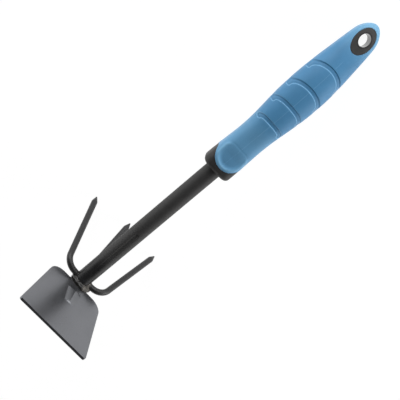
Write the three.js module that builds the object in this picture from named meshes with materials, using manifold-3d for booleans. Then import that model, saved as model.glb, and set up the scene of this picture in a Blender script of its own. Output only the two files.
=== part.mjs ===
// A combined hand hoe and three-tine cultivator: a pressed steel hoe blade and three bent steel
// rods welded on the end of a steel tube, and a two-material handle moulded on the other end.
// Units are millimetres, +Z is up. Every piece is first made in the tool's own frame: the shaft
// axis is X with the tube's blade end at zero and the butt at +X, +Z is the side of the blade
// and the thumb pad, and +Y is the left tine. At the end the tool is laid down as it lies on a
// bench, on its three tine tips and the underside of the butt, with the blade up.
import * as THREE from 'three';
import { mergeVertices } from 'three/addons/utils/BufferGeometryUtils.js';
import { ConvexGeometry } from 'three/addons/geometries/ConvexGeometry.js';
import Module from 'manifold-3d';

const wasm = await Module();
wasm.setup();

// Clearances shared by all pieces
const fitGap = 0.3;
const overrun = 60;

// Shaft tube
const tubeDiameter = 16;
const tubeWall = 1.5;
const exposedTube = 168.5;
const buriedTube = 62;
const pinchLength = 12;
const pinchRun = 14;
const pinchWidth = 20;
const pinchThickness = 4.6;

// Pressed crease on top of the tube
const creaseStart = 14;
const creaseLength = 64;
const creaseRadius = 4;
const creaseDepth = 1.2;
const creaseFadedDepth = 0.4;

// Flat tang inside the tube
const tangLength = 72;
const tangWidth = 10.4;
const tangThickness = 3;

// Hoe blade
const bladeThickness = 2.6;
const bladeEdgeWidth = 76.5;
const bladeShoulderWidth = 60.5;
const bladeReach = 87.5;
const bladeShoulderReach = 16;
const bladeRootReach = 7.4;
const bladeEdgeCorner = 2;
const bladeShoulderCorner = 13;
const bladeNeckCorner = 1.5;
const bladeBottomCorner = 8.7;
const neckWidth = 19.4;
const neckBottom = 9;
const bladeLean = THREE.MathUtils.degToRad(2.7);

// Pressed V-shaped rib of the blade, raised towards the handle and hollow in front
const ribStart = 21.5;
const ribEnd = 42;
const ribEndRun = 1.8;
const ribRootWidth = 15.6;
const ribTipWidth = 9.8;
const ribRootDepth = 2.2;
const ribTipDepth = 1.6;

// Weld round the end of the tube
const neckWeldWidth = 3.4;
const neckWeldThickness = 2.8;

// Tines
const tineDiameter = 6;
const tineRoot = 2;
const tinePointLength = 6.5;
const tinePointBlunt = 0.5;
const outerBendRadius = 12;
const outerBendStation = 6.2;
const outerBendWidth = 45.4;
const outerBendRise = 3.5;
const outerTipStation = 43.2;
const outerTipWidth = 83.7;
const outerTipDrop = 68.7;
const middleBendRadius = 8;
const middleBendStation = 5.6;
const middleBendDrop = 13.4;
const middleTipStation = 49.5;

// Weld beads at the roots of the tines
const tineWeldFoot = 1.6;
const tineWeldHeight = 2.4;

// Handle: overall sizes of the moulded body
const gripLength = 182;
const gripWidth = 35.6;
const gripCrown = 15.6;
const gripBelly = 15;
const gripDroop = 20;
const collarEdgeRadius = 4.2;
const buttEndRun = 15;
const coverWall = 2.6;

// Blue cover: rounded front tongue, thumb pad and arc grooves
const tongueStart = 6.6;
const tongueRadius = 15.4;
const padStart = 7.9;
const padLength = 23.4;
const padWidth = 25.2;
const padCorner = 6.5;
const padRise = 0.6;
const padRim = 2.2;
const padDish = 0.8;
const grooveWidth = 3.4;
const grooveDepth = 0.8;
const grooveShares = [0.362, 0.477, 0.594, 0.721];
const grooveSpans = [25, 31.2, 33.6, 33.4];
const grooveSags = [3.6, 6.6, 10, 11.6];
const grooveSquareness = [2.5, 2.4, 2.1, 2];
const flankShare = 0.12;

// Hang eyelet at the butt
const eyeletSetback = 17;
const eyeletLength = 25.2;
const eyeletWidth = 17.2;
const hangHoleLength = 12.6;
const hangHoleWidth = 9.8;
const hangHoleLean = THREE.MathUtils.degToRad(8);

// Finish: counts of facets
const tubeSides = 32;
const tineSides = 16;
const gripSides = 28;
const gripStations = 18;
const arcSteps = 6;
const ovalSides = 32;
const halvings = 24;

// Shape of the handle along its length. Each row holds the station as a share of gripLength,
// then shares of gripWidth, gripCrown, gripBelly and gripDroop, and the squareness of the
// section, whose outline is a superellipse.
const gripShares = [
  [0.000, 0.850, 0.84, 0.86, -0.03, 3.4],
  [0.060, 0.850, 0.84, 0.88, -0.05, 3.2],
  [0.140, 0.820, 0.82, 0.95, -0.09, 2.8],
  [0.230, 0.798, 0.80, 1.00, -0.14, 2.4],
  [0.310, 0.825, 0.88, 1.01, -0.14, 2.3],
  [0.390, 0.900, 0.95, 1.02, -0.11, 2.3],
  [0.470, 0.972, 0.99, 1.02, -0.05, 2.3],
  [0.560, 1.000, 1.00, 1.00, 0.03, 2.3],
  [0.640, 0.980, 1.00, 0.95, 0.14, 2.3],
  [0.720, 0.915, 0.97, 0.82, 0.31, 2.4],
  [0.800, 0.825, 0.88, 0.68, 0.49, 2.7],
  [0.880, 0.730, 0.72, 0.55, 0.68, 3.4],
  [0.940, 0.640, 0.60, 0.46, 0.83, 4.0],
  [1.000, 0.540, 0.48, 0.38, 0.95, 4.0],
];

// Values worked out from the sizes above
const tubeRadius = tubeDiameter / 2;
const boreRadius = tubeRadius - tubeWall;
const tubeEnd = exposedTube + buriedTube;
const tineRadius = tineDiameter / 2;
const eyeletStation = gripLength - eyeletSetback;
const eyeletX = exposedTube + eyeletStation;
const coreReach = eyeletStation - eyeletLength / 4;

// Materials
const finishes = {
  blade: new THREE.MeshStandardMaterial({ color: 0x75767a, roughness: 0.5, metalness: 0.6 }),
  black: new THREE.MeshStandardMaterial({ color: 0x26262a, roughness: 0.35, metalness: 0.4 }),
  weld: new THREE.MeshStandardMaterial({ color: 0x3a3835, roughness: 0.55, metalness: 0.5 }),
  core: new THREE.MeshStandardMaterial({ color: 0x35353a, roughness: 0.5, metalness: 0 }),
  cover: new THREE.MeshStandardMaterial({ color: 0x4a86b8, roughness: 0.6, metalness: 0 }),
};

// Helpers: solids for cutting and joining

/** The solid of a closed geometry, with its shared vertices merged. */
function solidOf(geometry) {
  const bare = geometry.clone();
  bare.deleteAttribute('normal');
  bare.deleteAttribute('uv');
  const merged = mergeVertices(bare);
  return new wasm.Manifold(new wasm.Mesh({
    numProp: 3,
    vertProperties: new Float32Array(merged.attributes.position.array),
    triVerts: new Uint32Array(merged.index.array),
  }));
}

/** The geometry of a solid. */
function geometryOf(solid) {
  const mesh = solid.getMesh();
  const geometry = new THREE.BufferGeometry();
  geometry.setAttribute('position', new THREE.BufferAttribute(mesh.vertProperties, 3));
  geometry.setIndex(new THREE.BufferAttribute(mesh.triVerts, 1));
  geometry.computeVertexNormals();
  return geometry;
}

/** A closed body through rings of points, all with the same count, closed by a fan at each end. */
function loft(rings) {
  const sides = rings[0].length;
  const positions = [];
  const indices = [];
  const centre = (ring) => (
    ring.reduce((sum, p) => sum.add(p), new THREE.Vector3()).divideScalar(sides));
  rings.flat().forEach((p) => positions.push(p.x, p.y, p.z));
  [centre(rings[0]), centre(rings.at(-1))].forEach((p) => positions.push(p.x, p.y, p.z));
  const first = rings.length * sides;
  for (let side = 0; side < sides; side++) {
    const next = (side + 1) % sides;
    for (let ring = 0; ring + 1 < rings.length; ring++) {
      const a = ring * sides;
      const b = a + sides;
      indices.push(a + side, a + next, b + next, a + side, b + next, b + side);
    }
    const last = (rings.length - 1) * sides;
    indices.push(first, next, side);
    indices.push(first + 1, last + side, last + next);
  }
  const geometry = new THREE.BufferGeometry();
  geometry.setAttribute('position', new THREE.Float32BufferAttribute(positions, 3));
  geometry.setIndex(indices);
  return geometry;
}

/** A point of a closed oval ring in the plane at one station of the shaft. */
function ovalPoint(x, angle, halfWidth, up, down, squareness, middle) {
  const power = 2 / squareness;
  const across = Math.sign(Math.cos(angle)) * Math.abs(Math.cos(angle)) ** power;
  const high = Math.sign(Math.sin(angle)) * Math.abs(Math.sin(angle)) ** power;
  return new THREE.Vector3(x, halfWidth * across, middle + (high > 0 ? up : down) * high);
}

/** A ring of points round the shaft axis direction, in the plane at one station. */
function ovalRing(x, sides, halfWidth, up, down, squareness, middle) {
  const angles = Array.from({ length: sides }, (_, k) => (2 * Math.PI * k) / sides);
  return angles.map((angle) => ovalPoint(x, angle, halfWidth, up, down, squareness, middle));
}

/** An outline with its corners rounded: each row is a point and the radius of its corner. */
function roundedShape(rows) {
  const shape = new THREE.Shape();
  rows.forEach(([x, y, radius], k) => {
    const corner = new THREE.Vector2(x, y);
    const [px, py] = rows.at(k - 1);
    const [nx, ny] = rows[(k + 1) % rows.length];
    const back = new THREE.Vector2(px, py).sub(corner).normalize();
    const ahead = new THREE.Vector2(nx, ny).sub(corner).normalize();
    const half = back.angleTo(ahead) / 2;
    const middle = back.clone().add(ahead).normalize();
    const centre = corner.clone().addScaledVector(middle, radius / Math.sin(half));
    const from = corner.clone().addScaledVector(back, radius / Math.tan(half)).sub(centre);
    const to = corner.clone().addScaledVector(ahead, radius / Math.tan(half)).sub(centre);
    const turn = from.angle() + THREE.MathUtils.euclideanModulo(to.angle() - from.angle() + Math.PI,
      2 * Math.PI) - Math.PI - from.angle();
    for (let step = 0; step <= arcSteps; step++) {
      const p = from.clone().rotateAround(new THREE.Vector2(), (turn * step) / arcSteps).add(centre);
      if (k === 0 && step === 0) shape.moveTo(p.x, p.y);
      else shape.lineTo(p.x, p.y);
    }
  });
  return shape;
}

/** A plan outline in X and Y, raised to a prism between two heights. */
function planPrism(shape, low, high) {
  const geometry = new THREE.ExtrudeGeometry(shape, { depth: high - low, bevelEnabled: false });
  return geometry.translate(0, 0, low);
}

/** A round rod from a root to a tip with one bend, blunt or drawn to a point. */
function bentRod({ root, bend, tip, bendRadius }, radius, pointLength, pointRadius) {
  const back = root.clone().sub(bend).normalize();
  const ahead = tip.clone().sub(bend).normalize();
  const half = back.angleTo(ahead) / 2;
  const square = ahead.clone().cross(back).normalize();
  const inside = back.clone().add(ahead).normalize();
  const centre = bend.clone().addScaledVector(inside, bendRadius / Math.sin(half));
  const spoke = bend.clone().addScaledVector(back, bendRadius / Math.tan(half)).sub(centre);
  const ring = (point, direction, size) => {
    const up = direction.clone().cross(square).normalize();
    return Array.from({ length: tineSides }, (_, side) => {
      const angle = (2 * Math.PI * side) / tineSides;
      return point.clone().addScaledVector(square, size * Math.cos(angle))
        .addScaledVector(up, size * Math.sin(angle));
    });
  };
  const outward = back.clone().negate();
  const rings = [ring(root, outward, radius)];
  for (let step = 0; step <= arcSteps; step++) {
    const turn = ((Math.PI - 2 * half) * step) / arcSteps;
    const point = spoke.clone().applyAxisAngle(square, turn).add(centre);
    rings.push(ring(point, outward.clone().applyAxisAngle(square, turn), radius));
  }
  const neck = tip.clone().addScaledVector(ahead, -pointLength);
  if (pointLength > 0) rings.push(ring(neck, ahead, radius));
  rings.push(ring(tip, ahead, pointRadius));
  return loft(rings);
}

/** Turns a geometry made along +Y so that it runs along a direction from a point. */
function aimed(geometry, direction, origin) {
  const turn = new THREE.Quaternion().setFromUnitVectors(new THREE.Vector3(0, 1, 0), direction);
  return geometry.applyQuaternion(turn).translate(origin.x, origin.y, origin.z);
}

// Blade frame: Y across, Z up along the blade from the shaft axis, +X towards the handle.
// Its face towards the handle is the plane that the end of the tube is mitred to.
const bladeFrame = new THREE.Matrix4().makeRotationY(-bladeLean);

/** Everything in front of the blade's inner face, drawn back by a gap. */
function beyondBlade(gap) {
  const box = new THREE.BoxGeometry(overrun, 2 * overrun, 2 * overrun);
  return solidOf(box.translate(gap - overrun / 2, 0, 0).applyMatrix4(bladeFrame));
}

/** A convex wedge with its ridge along the middle of the rib, shrunk and lowered by a thickness. */
function ribWedge(shrink) {
  const root = ribRootWidth / 2 - shrink;
  const tip = ribTipWidth / 2 - shrink;
  const start = ribStart + shrink;
  const end = ribEnd - shrink;
  const base = [-shrink, -shrink - fitGap].flatMap((level) => [
    new THREE.Vector3(level, root, start),
    new THREE.Vector3(level, -root, start),
    new THREE.Vector3(level, tip, end),
    new THREE.Vector3(level, -tip, end),
  ]);
  return solidOf(new ConvexGeometry([
    ...base,
    new THREE.Vector3(ribRootDepth - shrink, 0, start),
    new THREE.Vector3(ribTipDepth - shrink, 0, end - ribEndRun),
  ]));
}

// Blade: a trapezoid with round shoulders, a round neck behind the tube, and the V-shaped rib
function makeBlade() {
  const edge = bladeEdgeWidth / 2;
  const taper = (bladeEdgeWidth - bladeShoulderWidth) / 2 / (bladeReach - bladeShoulderReach);
  const shoulder = bladeShoulderWidth / 2 - (bladeShoulderReach - bladeRootReach) * taper;
  const neck = neckWidth / 2;
  const right = [
    [neck, -neckBottom, bladeBottomCorner],
    [neck, bladeRootReach, bladeNeckCorner],
    [shoulder, bladeRootReach, bladeShoulderCorner],
    [edge, bladeReach, bladeEdgeCorner],
  ];
  const left = right.map(([y, z, radius]) => [-y, z, radius]).reverse();
  const plate = planPrism(roundedShape([...right, ...left]), -bladeThickness, 0);
  // The drawing's X becomes Y, its Y becomes Z, and its thickness runs to -X.
  plate.applyMatrix4(new THREE.Matrix4().set(0, 0, 1, 0, 1, 0, 0, 0, 0, 1, 0, 0, 0, 0, 0, 1));
  const blade = solidOf(plate).add(ribWedge(0)).subtract(ribWedge(bladeThickness));
  return geometryOf(blade).applyMatrix4(bladeFrame);
}

// Shaft tube: round, with its far end pinched flat inside the handle so that it can't turn
function tubeRings(wall) {
  const radius = tubeRadius - wall;
  const round = (x) => ovalRing(x, tubeSides, radius, radius, radius, 2, 0);
  const pinchStart = tubeEnd - pinchLength - pinchRun;
  const rings = [round(-tubeRadius), round(pinchStart)];
  for (let step = 1; step <= arcSteps; step++) {
    const share = (1 - Math.cos((Math.PI * step) / arcSteps)) / 2;
    const high = THREE.MathUtils.lerp(radius, pinchThickness / 2 - wall, share);
    const wide = THREE.MathUtils.lerp(radius, pinchWidth / 2 - wall, share);
    rings.push(ovalRing(pinchStart + (pinchRun * step) / arcSteps, tubeSides, wide, high, high, 2, 0));
  }
  return rings;
}

function tubeBody(grow) {
  const rings = tubeRings(-grow);
  const high = pinchThickness / 2 + grow;
  const wide = pinchWidth / 2 + grow;
  rings.push(ovalRing(tubeEnd + grow, tubeSides, wide, high, high, 2, 0));
  return solidOf(loft(rings));
}

/** The crease's cutter: a lying capsule, deepest at its end nearer the handle. */
function creaseBody(grow) {
  const radius = creaseRadius + grow;
  const span = creaseLength - 2 * creaseRadius;
  const slope = Math.atan2(creaseDepth - creaseFadedDepth, span);
  const capsule = new THREE.CapsuleGeometry(radius, span, arcSteps, 2 * arcSteps);
  capsule.rotateZ(-Math.PI / 2).rotateY(slope);
  const depth = (creaseDepth + creaseFadedDepth) / 2;
  const height = tubeRadius + creaseRadius - depth;
  return solidOf(capsule.translate(creaseStart + creaseLength / 2, 0, height));
}

function makeTube() {
  const bore = solidOf(loft(tubeRings(tubeWall))).subtract(creaseBody(tubeWall));
  const tube = tubeBody(0).subtract(creaseBody(0)).subtract(bore).subtract(beyondBlade(fitGap));
  return geometryOf(tube);
}

// Tang: a flat bar welded on the blade inside the tube, under the crease
function makeTang() {
  const top = tubeRadius - creaseDepth - tubeWall - fitGap;
  const half = tangWidth / 2;
  const shape = roundedShape([
    [-half, -half, fitGap],
    [tangLength, -half, half / 2],
    [tangLength, half, half / 2],
    [-half, half, fitGap],
  ]);
  const bar = solidOf(planPrism(shape, top - tangThickness, top));
  const radius = boreRadius - fitGap;
  const ends = [-half, tangLength].map((x) => ovalRing(x, tubeSides, radius, radius, radius, 2, 0));
  const within = solidOf(loft(ends));
  return geometryOf(bar.intersect(within)
    .subtract(beyondBlade(fitGap))
    .subtract(creaseBody(tubeWall + fitGap)));
}

// Tines: three rods that leave the tube sideways and downwards and bend back towards the handle
/** The root, the bend and the tip of one tine; side is +1 left, -1 right, 0 middle. */
function tinePoints(side) {
  const root = new THREE.Vector3(tineRoot, 0, 0);
  if (side === 0) {
    const bend = new THREE.Vector3(middleBendStation, 0, -middleBendDrop);
    const drop = outerTipDrop - (middleTipStation - outerTipStation) * restSlope();
    return { root, bend, tip: new THREE.Vector3(middleTipStation, 0, -drop), bendRadius: middleBendRadius };
  }
  const bend = new THREE.Vector3(outerBendStation, side * outerBendWidth / 2, outerBendRise);
  const tip = new THREE.Vector3(outerTipStation, side * outerTipWidth / 2, -outerTipDrop);
  return { root, bend, tip, bendRadius: outerBendRadius };
}

/** The slope of the line from the outer tine tips to the underside of the butt. */
function restSlope() {
  const low = outerTipDrop + tinePointBlunt / 2;
  const points = gripRings(0, 0, gripLength).flat();
  return Math.min(...points.map((p) => (p.z + low) / (p.x - outerTipStation)));
}

/** A tine without its point, widened by a gap, for cutting what lies round it. */
function tineSleeve(side, gap) {
  return solidOf(bentRod(tinePoints(side), tineRadius + gap, 0, tineRadius + gap));
}

function makeTine(side) {
  const rod = bentRod(tinePoints(side), tineRadius, tinePointLength, tinePointBlunt);
  return geometryOf(solidOf(rod)
    .subtract(tubeBody(fitGap))
    .subtract(neckWeldBody(fitGap))
    .subtract(beyondBlade(fitGap)));
}

// Weld round the tube where it meets the blade: a rounded bead, cut clear of the tines
function neckWeldBody(grow) {
  const inner = tubeRadius + fitGap - grow;
  const outer = tubeRadius + fitGap + neckWeldThickness + grow;
  const rear = neckWeldWidth + grow;
  const front = -neckWeldWidth;
  const round = neckWeldThickness;
  const profile = [[inner, front], [outer, front]];
  for (let step = 0; step <= arcSteps; step++) {
    const angle = (Math.PI / 2) * (step / arcSteps);
    profile.push([outer - round + round * Math.cos(angle), rear - round + round * Math.sin(angle)]);
  }
  profile.push([inner, rear], [inner, front]);
  const points = profile.map(([reach, height]) => new THREE.Vector2(reach, height));
  const ring = new THREE.LatheGeometry(points, tubeSides);
  return solidOf(ring.rotateZ(-Math.PI / 2)).subtract(beyondBlade(fitGap - grow));
}

function makeNeckWeld() {
  return geometryOf(neckWeldBody(0));
}

// Weld bead at the root of a tine: a hollow cone spread on the tube
function makeTineWeld(side) {
  const { root, bend } = tinePoints(side);
  const direction = bend.clone().sub(root).normalize();
  const foot = tineRadius + tineWeldFoot;
  const collar = tineRadius + fitGap * 2;
  const top = tubeRadius + tineWeldHeight;
  const low = tubeRadius / 2;
  const profile = [[0, low], [foot, low]];
  for (let step = 0; step <= arcSteps; step++) {
    const angle = (Math.PI / 2) * (step / arcSteps);
    const reach = foot - (foot - collar) * Math.sin(angle);
    profile.push([reach, top - (top - tubeRadius) * Math.cos(angle)]);
  }
  profile.push([0, top]);
  const points = profile.map(([reach, height]) => new THREE.Vector2(reach, height));
  const bead = new THREE.LatheGeometry(points, tineSides + arcSteps);
  return geometryOf(solidOf(aimed(bead, direction, root))
    .subtract(tubeBody(fitGap))
    .subtract(tineSleeve(side, fitGap))
    .subtract(neckWeldBody(fitGap))
    .subtract(beyondBlade(fitGap)));
}

// Handle: the moulded body's sections
const gripColumns = gripShares[0].map((_, column) => new THREE.SplineCurve(
  gripShares.map((row) => new THREE.Vector2(row[0], row[column]))));

/** One column of the table of shares at a share of the handle's length. */
function gripShare(column, share) {
  let low = 0;
  let high = 1;
  for (let step = 0; step < halvings; step++) {
    const middle = (low + high) / 2;
    if (gripColumns[column].getPoint(middle).x < share) low = middle;
    else high = middle;
  }
  return gripColumns[column].getPoint((low + high) / 2).y;
}

/** Half width, crown, belly, droop and squareness of the section at a distance along the handle. */
function gripSection(along) {
  const share = along / gripLength;
  const [wide, up, down, sag, square] = [1, 2, 3, 4, 5].map((column) => gripShare(column, share));
  const fromFront = Math.min(along / collarEdgeRadius, 1);
  const fromButt = Math.min((gripLength - along) / buttEndRun, 1);
  const edge = collarEdgeRadius * (1 - Math.sqrt(1 - (1 - fromFront) ** 2));
  const end = Math.sqrt(1 - (1 - fromButt) ** 2);
  const size = (value) => (value - edge) * end;
  return {
    width: size(wide * gripWidth / 2),
    crown: size(up * gripCrown),
    belly: size(down * gripBelly),
    droop: -sag * gripDroop,
    square,
  };
}

/** The stations of the handle's rings: close together where both ends turn round. */
function gripAlongs(start, end) {
  const alongs = [];
  const straight = gripLength - buttEndRun - collarEdgeRadius;
  for (let step = 0; step < arcSteps; step++) {
    const angle = (Math.PI * step) / (2 * arcSteps);
    alongs.push(collarEdgeRadius * (1 - Math.cos(angle)));
  }
  for (let step = 0; step < gripStations; step++) {
    alongs.push(collarEdgeRadius + (straight * step) / gripStations);
  }
  for (let step = 0; step <= arcSteps; step++) {
    const angle = (Math.PI * step) / (2 * arcSteps);
    alongs.push(gripLength - buttEndRun * (1 - Math.sin(angle)));
  }
  return [start, ...alongs.filter((along) => along > start && along < end), end];
}

/** Rings of the handle's surface, moved inwards by an inset. */
function gripRings(inset, start, end) {
  return gripAlongs(start, end).map((along) => {
    const part = gripSection(along);
    const [width, crown, belly] = [part.width, part.crown, part.belly]
      .map((size) => Math.max(size - inset, fitGap));
    return ovalRing(exposedTube + along, gripSides, width, crown, belly, part.square, part.droop);
  });
}

/** The handle's solid, moved inwards by an inset, whole or between two stations. */
function gripBody(inset, start = 0, end = gripLength) {
  return solidOf(loft(gripRings(inset, start, end)));
}

/** Everything behind the cover's round front edge, widened by a gap. */
function coverRegion(gap) {
  const radius = tongueRadius + gap;
  const front = exposedTube + tongueStart + tongueRadius;
  const shape = new THREE.Shape();
  shape.moveTo(front + gripLength, -radius - overrun);
  shape.lineTo(front + gripLength, radius + overrun);
  shape.lineTo(front, radius + overrun);
  for (let step = 0; step <= 4 * arcSteps; step++) {
    const angle = Math.PI / 2 + (Math.PI * step) / (4 * arcSteps);
    shape.lineTo(front + radius * Math.cos(angle), radius * Math.sin(angle));
  }
  shape.lineTo(front, -radius - overrun);
  return solidOf(planPrism(shape, -overrun, overrun));
}

/** The thumb pad's outline, round towards the blade and flat towards the butt. */
function padOutline(inset) {
  const half = padWidth / 2 - inset;
  const front = exposedTube + padStart + padWidth / 2;
  const rear = exposedTube + padStart + padLength - inset;
  const corner = Math.max(padCorner - inset, fitGap);
  const shape = new THREE.Shape();
  shape.moveTo(rear - corner, -half);
  shape.absarc(rear - corner, -half + corner, corner, -Math.PI / 2, 0, false);
  shape.absarc(rear - corner, half - corner, corner, 0, Math.PI / 2, false);
  shape.absarc(front, 0, half, Math.PI / 2, (3 * Math.PI) / 2, false);
  return shape;
}

/** A plan prism of the pad's outline, above the shaft axis only. */
function padPrism(inset) {
  const shape = padOutline(inset);
  const geometry = new THREE.ExtrudeGeometry(shape,
    { depth: overrun, bevelEnabled: false, curveSegments: 2 * arcSteps });
  return solidOf(geometry);
}

/** The plan outline of one arc groove, bulging towards the butt, with round ends. */
function grooveShape(k) {
  const apex = exposedTube + grooveShares[k] * gripLength;
  const half = grooveSpans[k] / 2;
  const power = grooveSquareness[k];
  const steps = 2 * arcSteps;
  const line = [];
  for (let step = 0; step <= steps; step++) {
    const angle = (Math.PI * step) / steps;
    const across = -Math.cos(angle);
    const y = half * Math.sign(across) * Math.abs(across) ** (2 / power);
    const x = apex - grooveSags[k] * (1 - Math.abs(Math.sin(angle)) ** (2 / power));
    line.push(new THREE.Vector2(x, y));
  }
  const path = new THREE.SplineCurve(line);
  const radius = grooveWidth / 2;
  const beside = (share, side) => {
    const tangent = path.getTangentAt(share);
    const across = new THREE.Vector2(tangent.y, -tangent.x).multiplyScalar(side * radius);
    return path.getPointAt(share).add(across);
  };
  const shares = Array.from({ length: steps + 1 }, (_, step) => step / steps);
  const beyond = (share, sign) => (
    path.getPointAt(share).addScaledVector(path.getTangentAt(share), sign * radius));
  return new THREE.Shape([
    ...shares.map((share) => beside(share, 1)),
    beyond(1, 1),
    ...shares.toReversed().map((share) => beside(share, -1)),
    beyond(0, -1),
  ]);
}

/** A slab along the handle's middle and wider than it, which keeps the grooves off the flanks. */
function flankBody() {
  return solidOf(loft(gripAlongs(0, gripLength).map((along) => {
    const part = gripSection(along);
    const [crown, belly] = [part.crown, part.belly].map((size) => Math.max(size * flankShare, fitGap));
    return ovalRing(exposedTube + along, gripSides, gripWidth, crown, belly, part.square, part.droop);
  })));
}

/** An oval prism at the hang hole, upright or leaning with the butt about its middle height. */
function ovalPrism(length, width, lean = 0) {
  const slope = Math.tan(lean);
  const middle = gripSection(eyeletStation).droop;
  const shape = new THREE.Shape();
  shape.absellipse(eyeletX, 0, length / 2, width / 2, 0, 2 * Math.PI, false, 0);
  const geometry = new THREE.ExtrudeGeometry(shape,
    { depth: 2 * overrun, bevelEnabled: false, curveSegments: ovalSides });
  geometry.translate(-slope * middle, 0, -overrun);
  return solidOf(geometry.applyMatrix4(new THREE.Matrix4().makeShear(0, 0, 0, 0, slope, 0)));
}

// Eyelet: an oval bush with the hang hole, flush with the handle above and below
function makeEyelet() {
  const hole = ovalPrism(hangHoleLength, hangHoleWidth, hangHoleLean);
  return geometryOf(ovalPrism(eyeletLength, eyeletWidth).subtract(hole).intersect(gripBody(0)));
}

// Core: the black moulding, bare at the collar and under the cover behind it
function makeCore() {
  const collar = gripBody(0).subtract(coverRegion(fitGap));
  const inner = gripBody(coverWall + fitGap, collarEdgeRadius, coreReach);
  return geometryOf(collar.add(inner)
    .subtract(tubeBody(fitGap))
    .subtract(ovalPrism(eyeletLength + 2 * fitGap, eyeletWidth + 2 * fitGap)));
}

// Cover: the soft moulding over the core, with the thumb pad and the arc grooves
function makeCover() {
  const raised = gripBody(-padRise).intersect(padPrism(0));
  const dish = padPrism(padRim).subtract(gripBody(padDish));
  const spared = gripBody(grooveDepth).add(flankBody());
  const cover = gripBody(0).add(raised).intersect(coverRegion(0)).subtract(dish)
    .subtract(gripBody(coverWall, collarEdgeRadius - fitGap, coreReach + fitGap))
    .subtract(ovalPrism(eyeletLength + 2 * fitGap, eyeletWidth + 2 * fitGap));
  const grooves = grooveSpans.map((_, k) => (
    solidOf(planPrism(grooveShape(k), -overrun, overrun)).subtract(spared)));
  return geometryOf(grooves.reduce((body, groove) => body.subtract(groove), cover));
}

// Assembly
const tool = new THREE.Group();

function place(name, geometry, material) {
  const mesh = new THREE.Mesh(geometry, material);
  mesh.name = name;
  tool.add(mesh);
}

place('hoe_blade', makeBlade(), finishes.blade);
place('blade_tang', makeTang(), finishes.black);
place('shaft_tube', makeTube(), finishes.black);
place('neck_weld', makeNeckWeld(), finishes.weld);
[['left', 1], ['middle', 0], ['right', -1]].forEach(([word, side]) => {
  place(`tine_${word}`, makeTine(side), finishes.black);
  place(`tine_weld_${word}`, makeTineWeld(side), finishes.weld);
});
place('handle_core', makeCore(), finishes.core);
place('grip_cover', makeCover(), finishes.cover);
place('hang_eyelet', makeEyelet(), finishes.core);

// The tool lies on its tine tips and its butt, over the middle of the space it takes.
const lying = new THREE.Group();
lying.add(tool);
tool.rotation.y = Math.atan(restSlope());
tool.updateMatrixWorld(true);
const box = new THREE.Box3().setFromObject(tool, true);
const middle = box.getCenter(new THREE.Vector3());
tool.position.set(-middle.x, -middle.y, -box.min.z);

export default lying;
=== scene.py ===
"""Looks of a combined hand hoe and three-tine cultivator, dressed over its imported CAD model.

Every piece is worked out in the tool's own frame, in millimetres: X along the shaft from the end
at the blade to the butt, Z to the side of the blade and the thumb pad, Y to the left tine. It is
then laid down as the CAD model lies, in metres, with its place in its mesh.
"""

import logging
import math
from dataclasses import dataclass, field
from enum import Enum
from typing import NamedTuple

import bmesh
import bpy
import numpy as np
from mathutils import Matrix, Quaternion, Vector

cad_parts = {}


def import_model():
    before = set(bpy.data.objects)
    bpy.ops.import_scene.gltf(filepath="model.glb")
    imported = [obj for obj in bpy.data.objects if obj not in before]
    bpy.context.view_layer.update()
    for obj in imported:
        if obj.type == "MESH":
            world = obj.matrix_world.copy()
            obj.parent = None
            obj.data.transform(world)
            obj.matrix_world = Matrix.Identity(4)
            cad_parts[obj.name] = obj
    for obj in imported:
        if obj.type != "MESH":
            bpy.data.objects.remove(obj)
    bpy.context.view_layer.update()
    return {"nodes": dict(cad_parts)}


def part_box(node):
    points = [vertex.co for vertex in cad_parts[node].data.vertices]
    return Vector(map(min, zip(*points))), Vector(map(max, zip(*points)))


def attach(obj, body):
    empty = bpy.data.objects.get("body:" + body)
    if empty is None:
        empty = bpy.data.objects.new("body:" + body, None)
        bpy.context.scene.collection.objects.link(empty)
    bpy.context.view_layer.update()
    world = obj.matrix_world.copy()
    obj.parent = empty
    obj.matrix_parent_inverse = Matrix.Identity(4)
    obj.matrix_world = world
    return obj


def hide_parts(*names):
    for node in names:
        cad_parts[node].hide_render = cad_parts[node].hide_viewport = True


Array = np.ndarray
Pair = tuple[float, float]
Triple = tuple[float, float, float]
Material = bpy.types.Material
Object = bpy.types.Object
Socket = bpy.types.NodeSocket
LOG = logging.getLogger("hand_hoe")
WHITE = (1, 1, 1, 1)
TINY = 1e-6
# A millimetre in metres.
METRES = 0.001
# Points that round to the same multiples of this are one point, in millimetres.
WELD_STEP = 0.002
# How far the blade leans away from the handle, from square to the shaft.
BLADE_LEAN = math.radians(2.7)


class Side(Enum):
    """The side of the tool that a tine stands on; the value is the sign of its Y."""

    LEFT = 1
    MIDDLE = 0
    RIGHT = -1


@dataclass(frozen=True)
class ToolFrame:
    """Where the tool lies: its own frame tilted about Y and then moved.

    Attributes:
        tilt: Turn about Y, in radians.
        origin: Where the shaft's end at the blade comes to lie, in millimetres.
    """

    tilt: float = math.radians(8.707128694)
    origin: Triple = (-170.05102, 0.0, 74.69975)

    def turn(self) -> Array:
        """The turn about Y as a 3 by 3 matrix."""
        cosine, sine = math.cos(self.tilt), math.sin(self.tilt)
        return np.array([[cosine, 0, sine], [0, 1, 0], [-sine, 0, cosine]])

    def place(self, points: Array) -> Array:
        """Points of the tool's frame laid down: turned, moved, and in metres.

        Args:
            points: Points in millimetres, with X, Y and Z in the last axis.

        Returns:
            The same points in the frame of the CAD model, in metres.
        """
        return (points @ self.turn().T + np.array(self.origin)) * METRES


FRAME = ToolFrame()


def smooth(value: Array, low: float, high: float) -> Array:
    """A soft step from 0 at low to 1 at high: 3 t squared minus 2 t cubed.

    Args:
        value: The values to step.
        low: Where the step starts.
        high: Where the step ends.

    Returns:
        The stepped values, between 0 and 1.
    """
    share = np.clip((value - low) / (high - low), 0, 1)
    return share * share * (3 - 2 * share)


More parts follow.
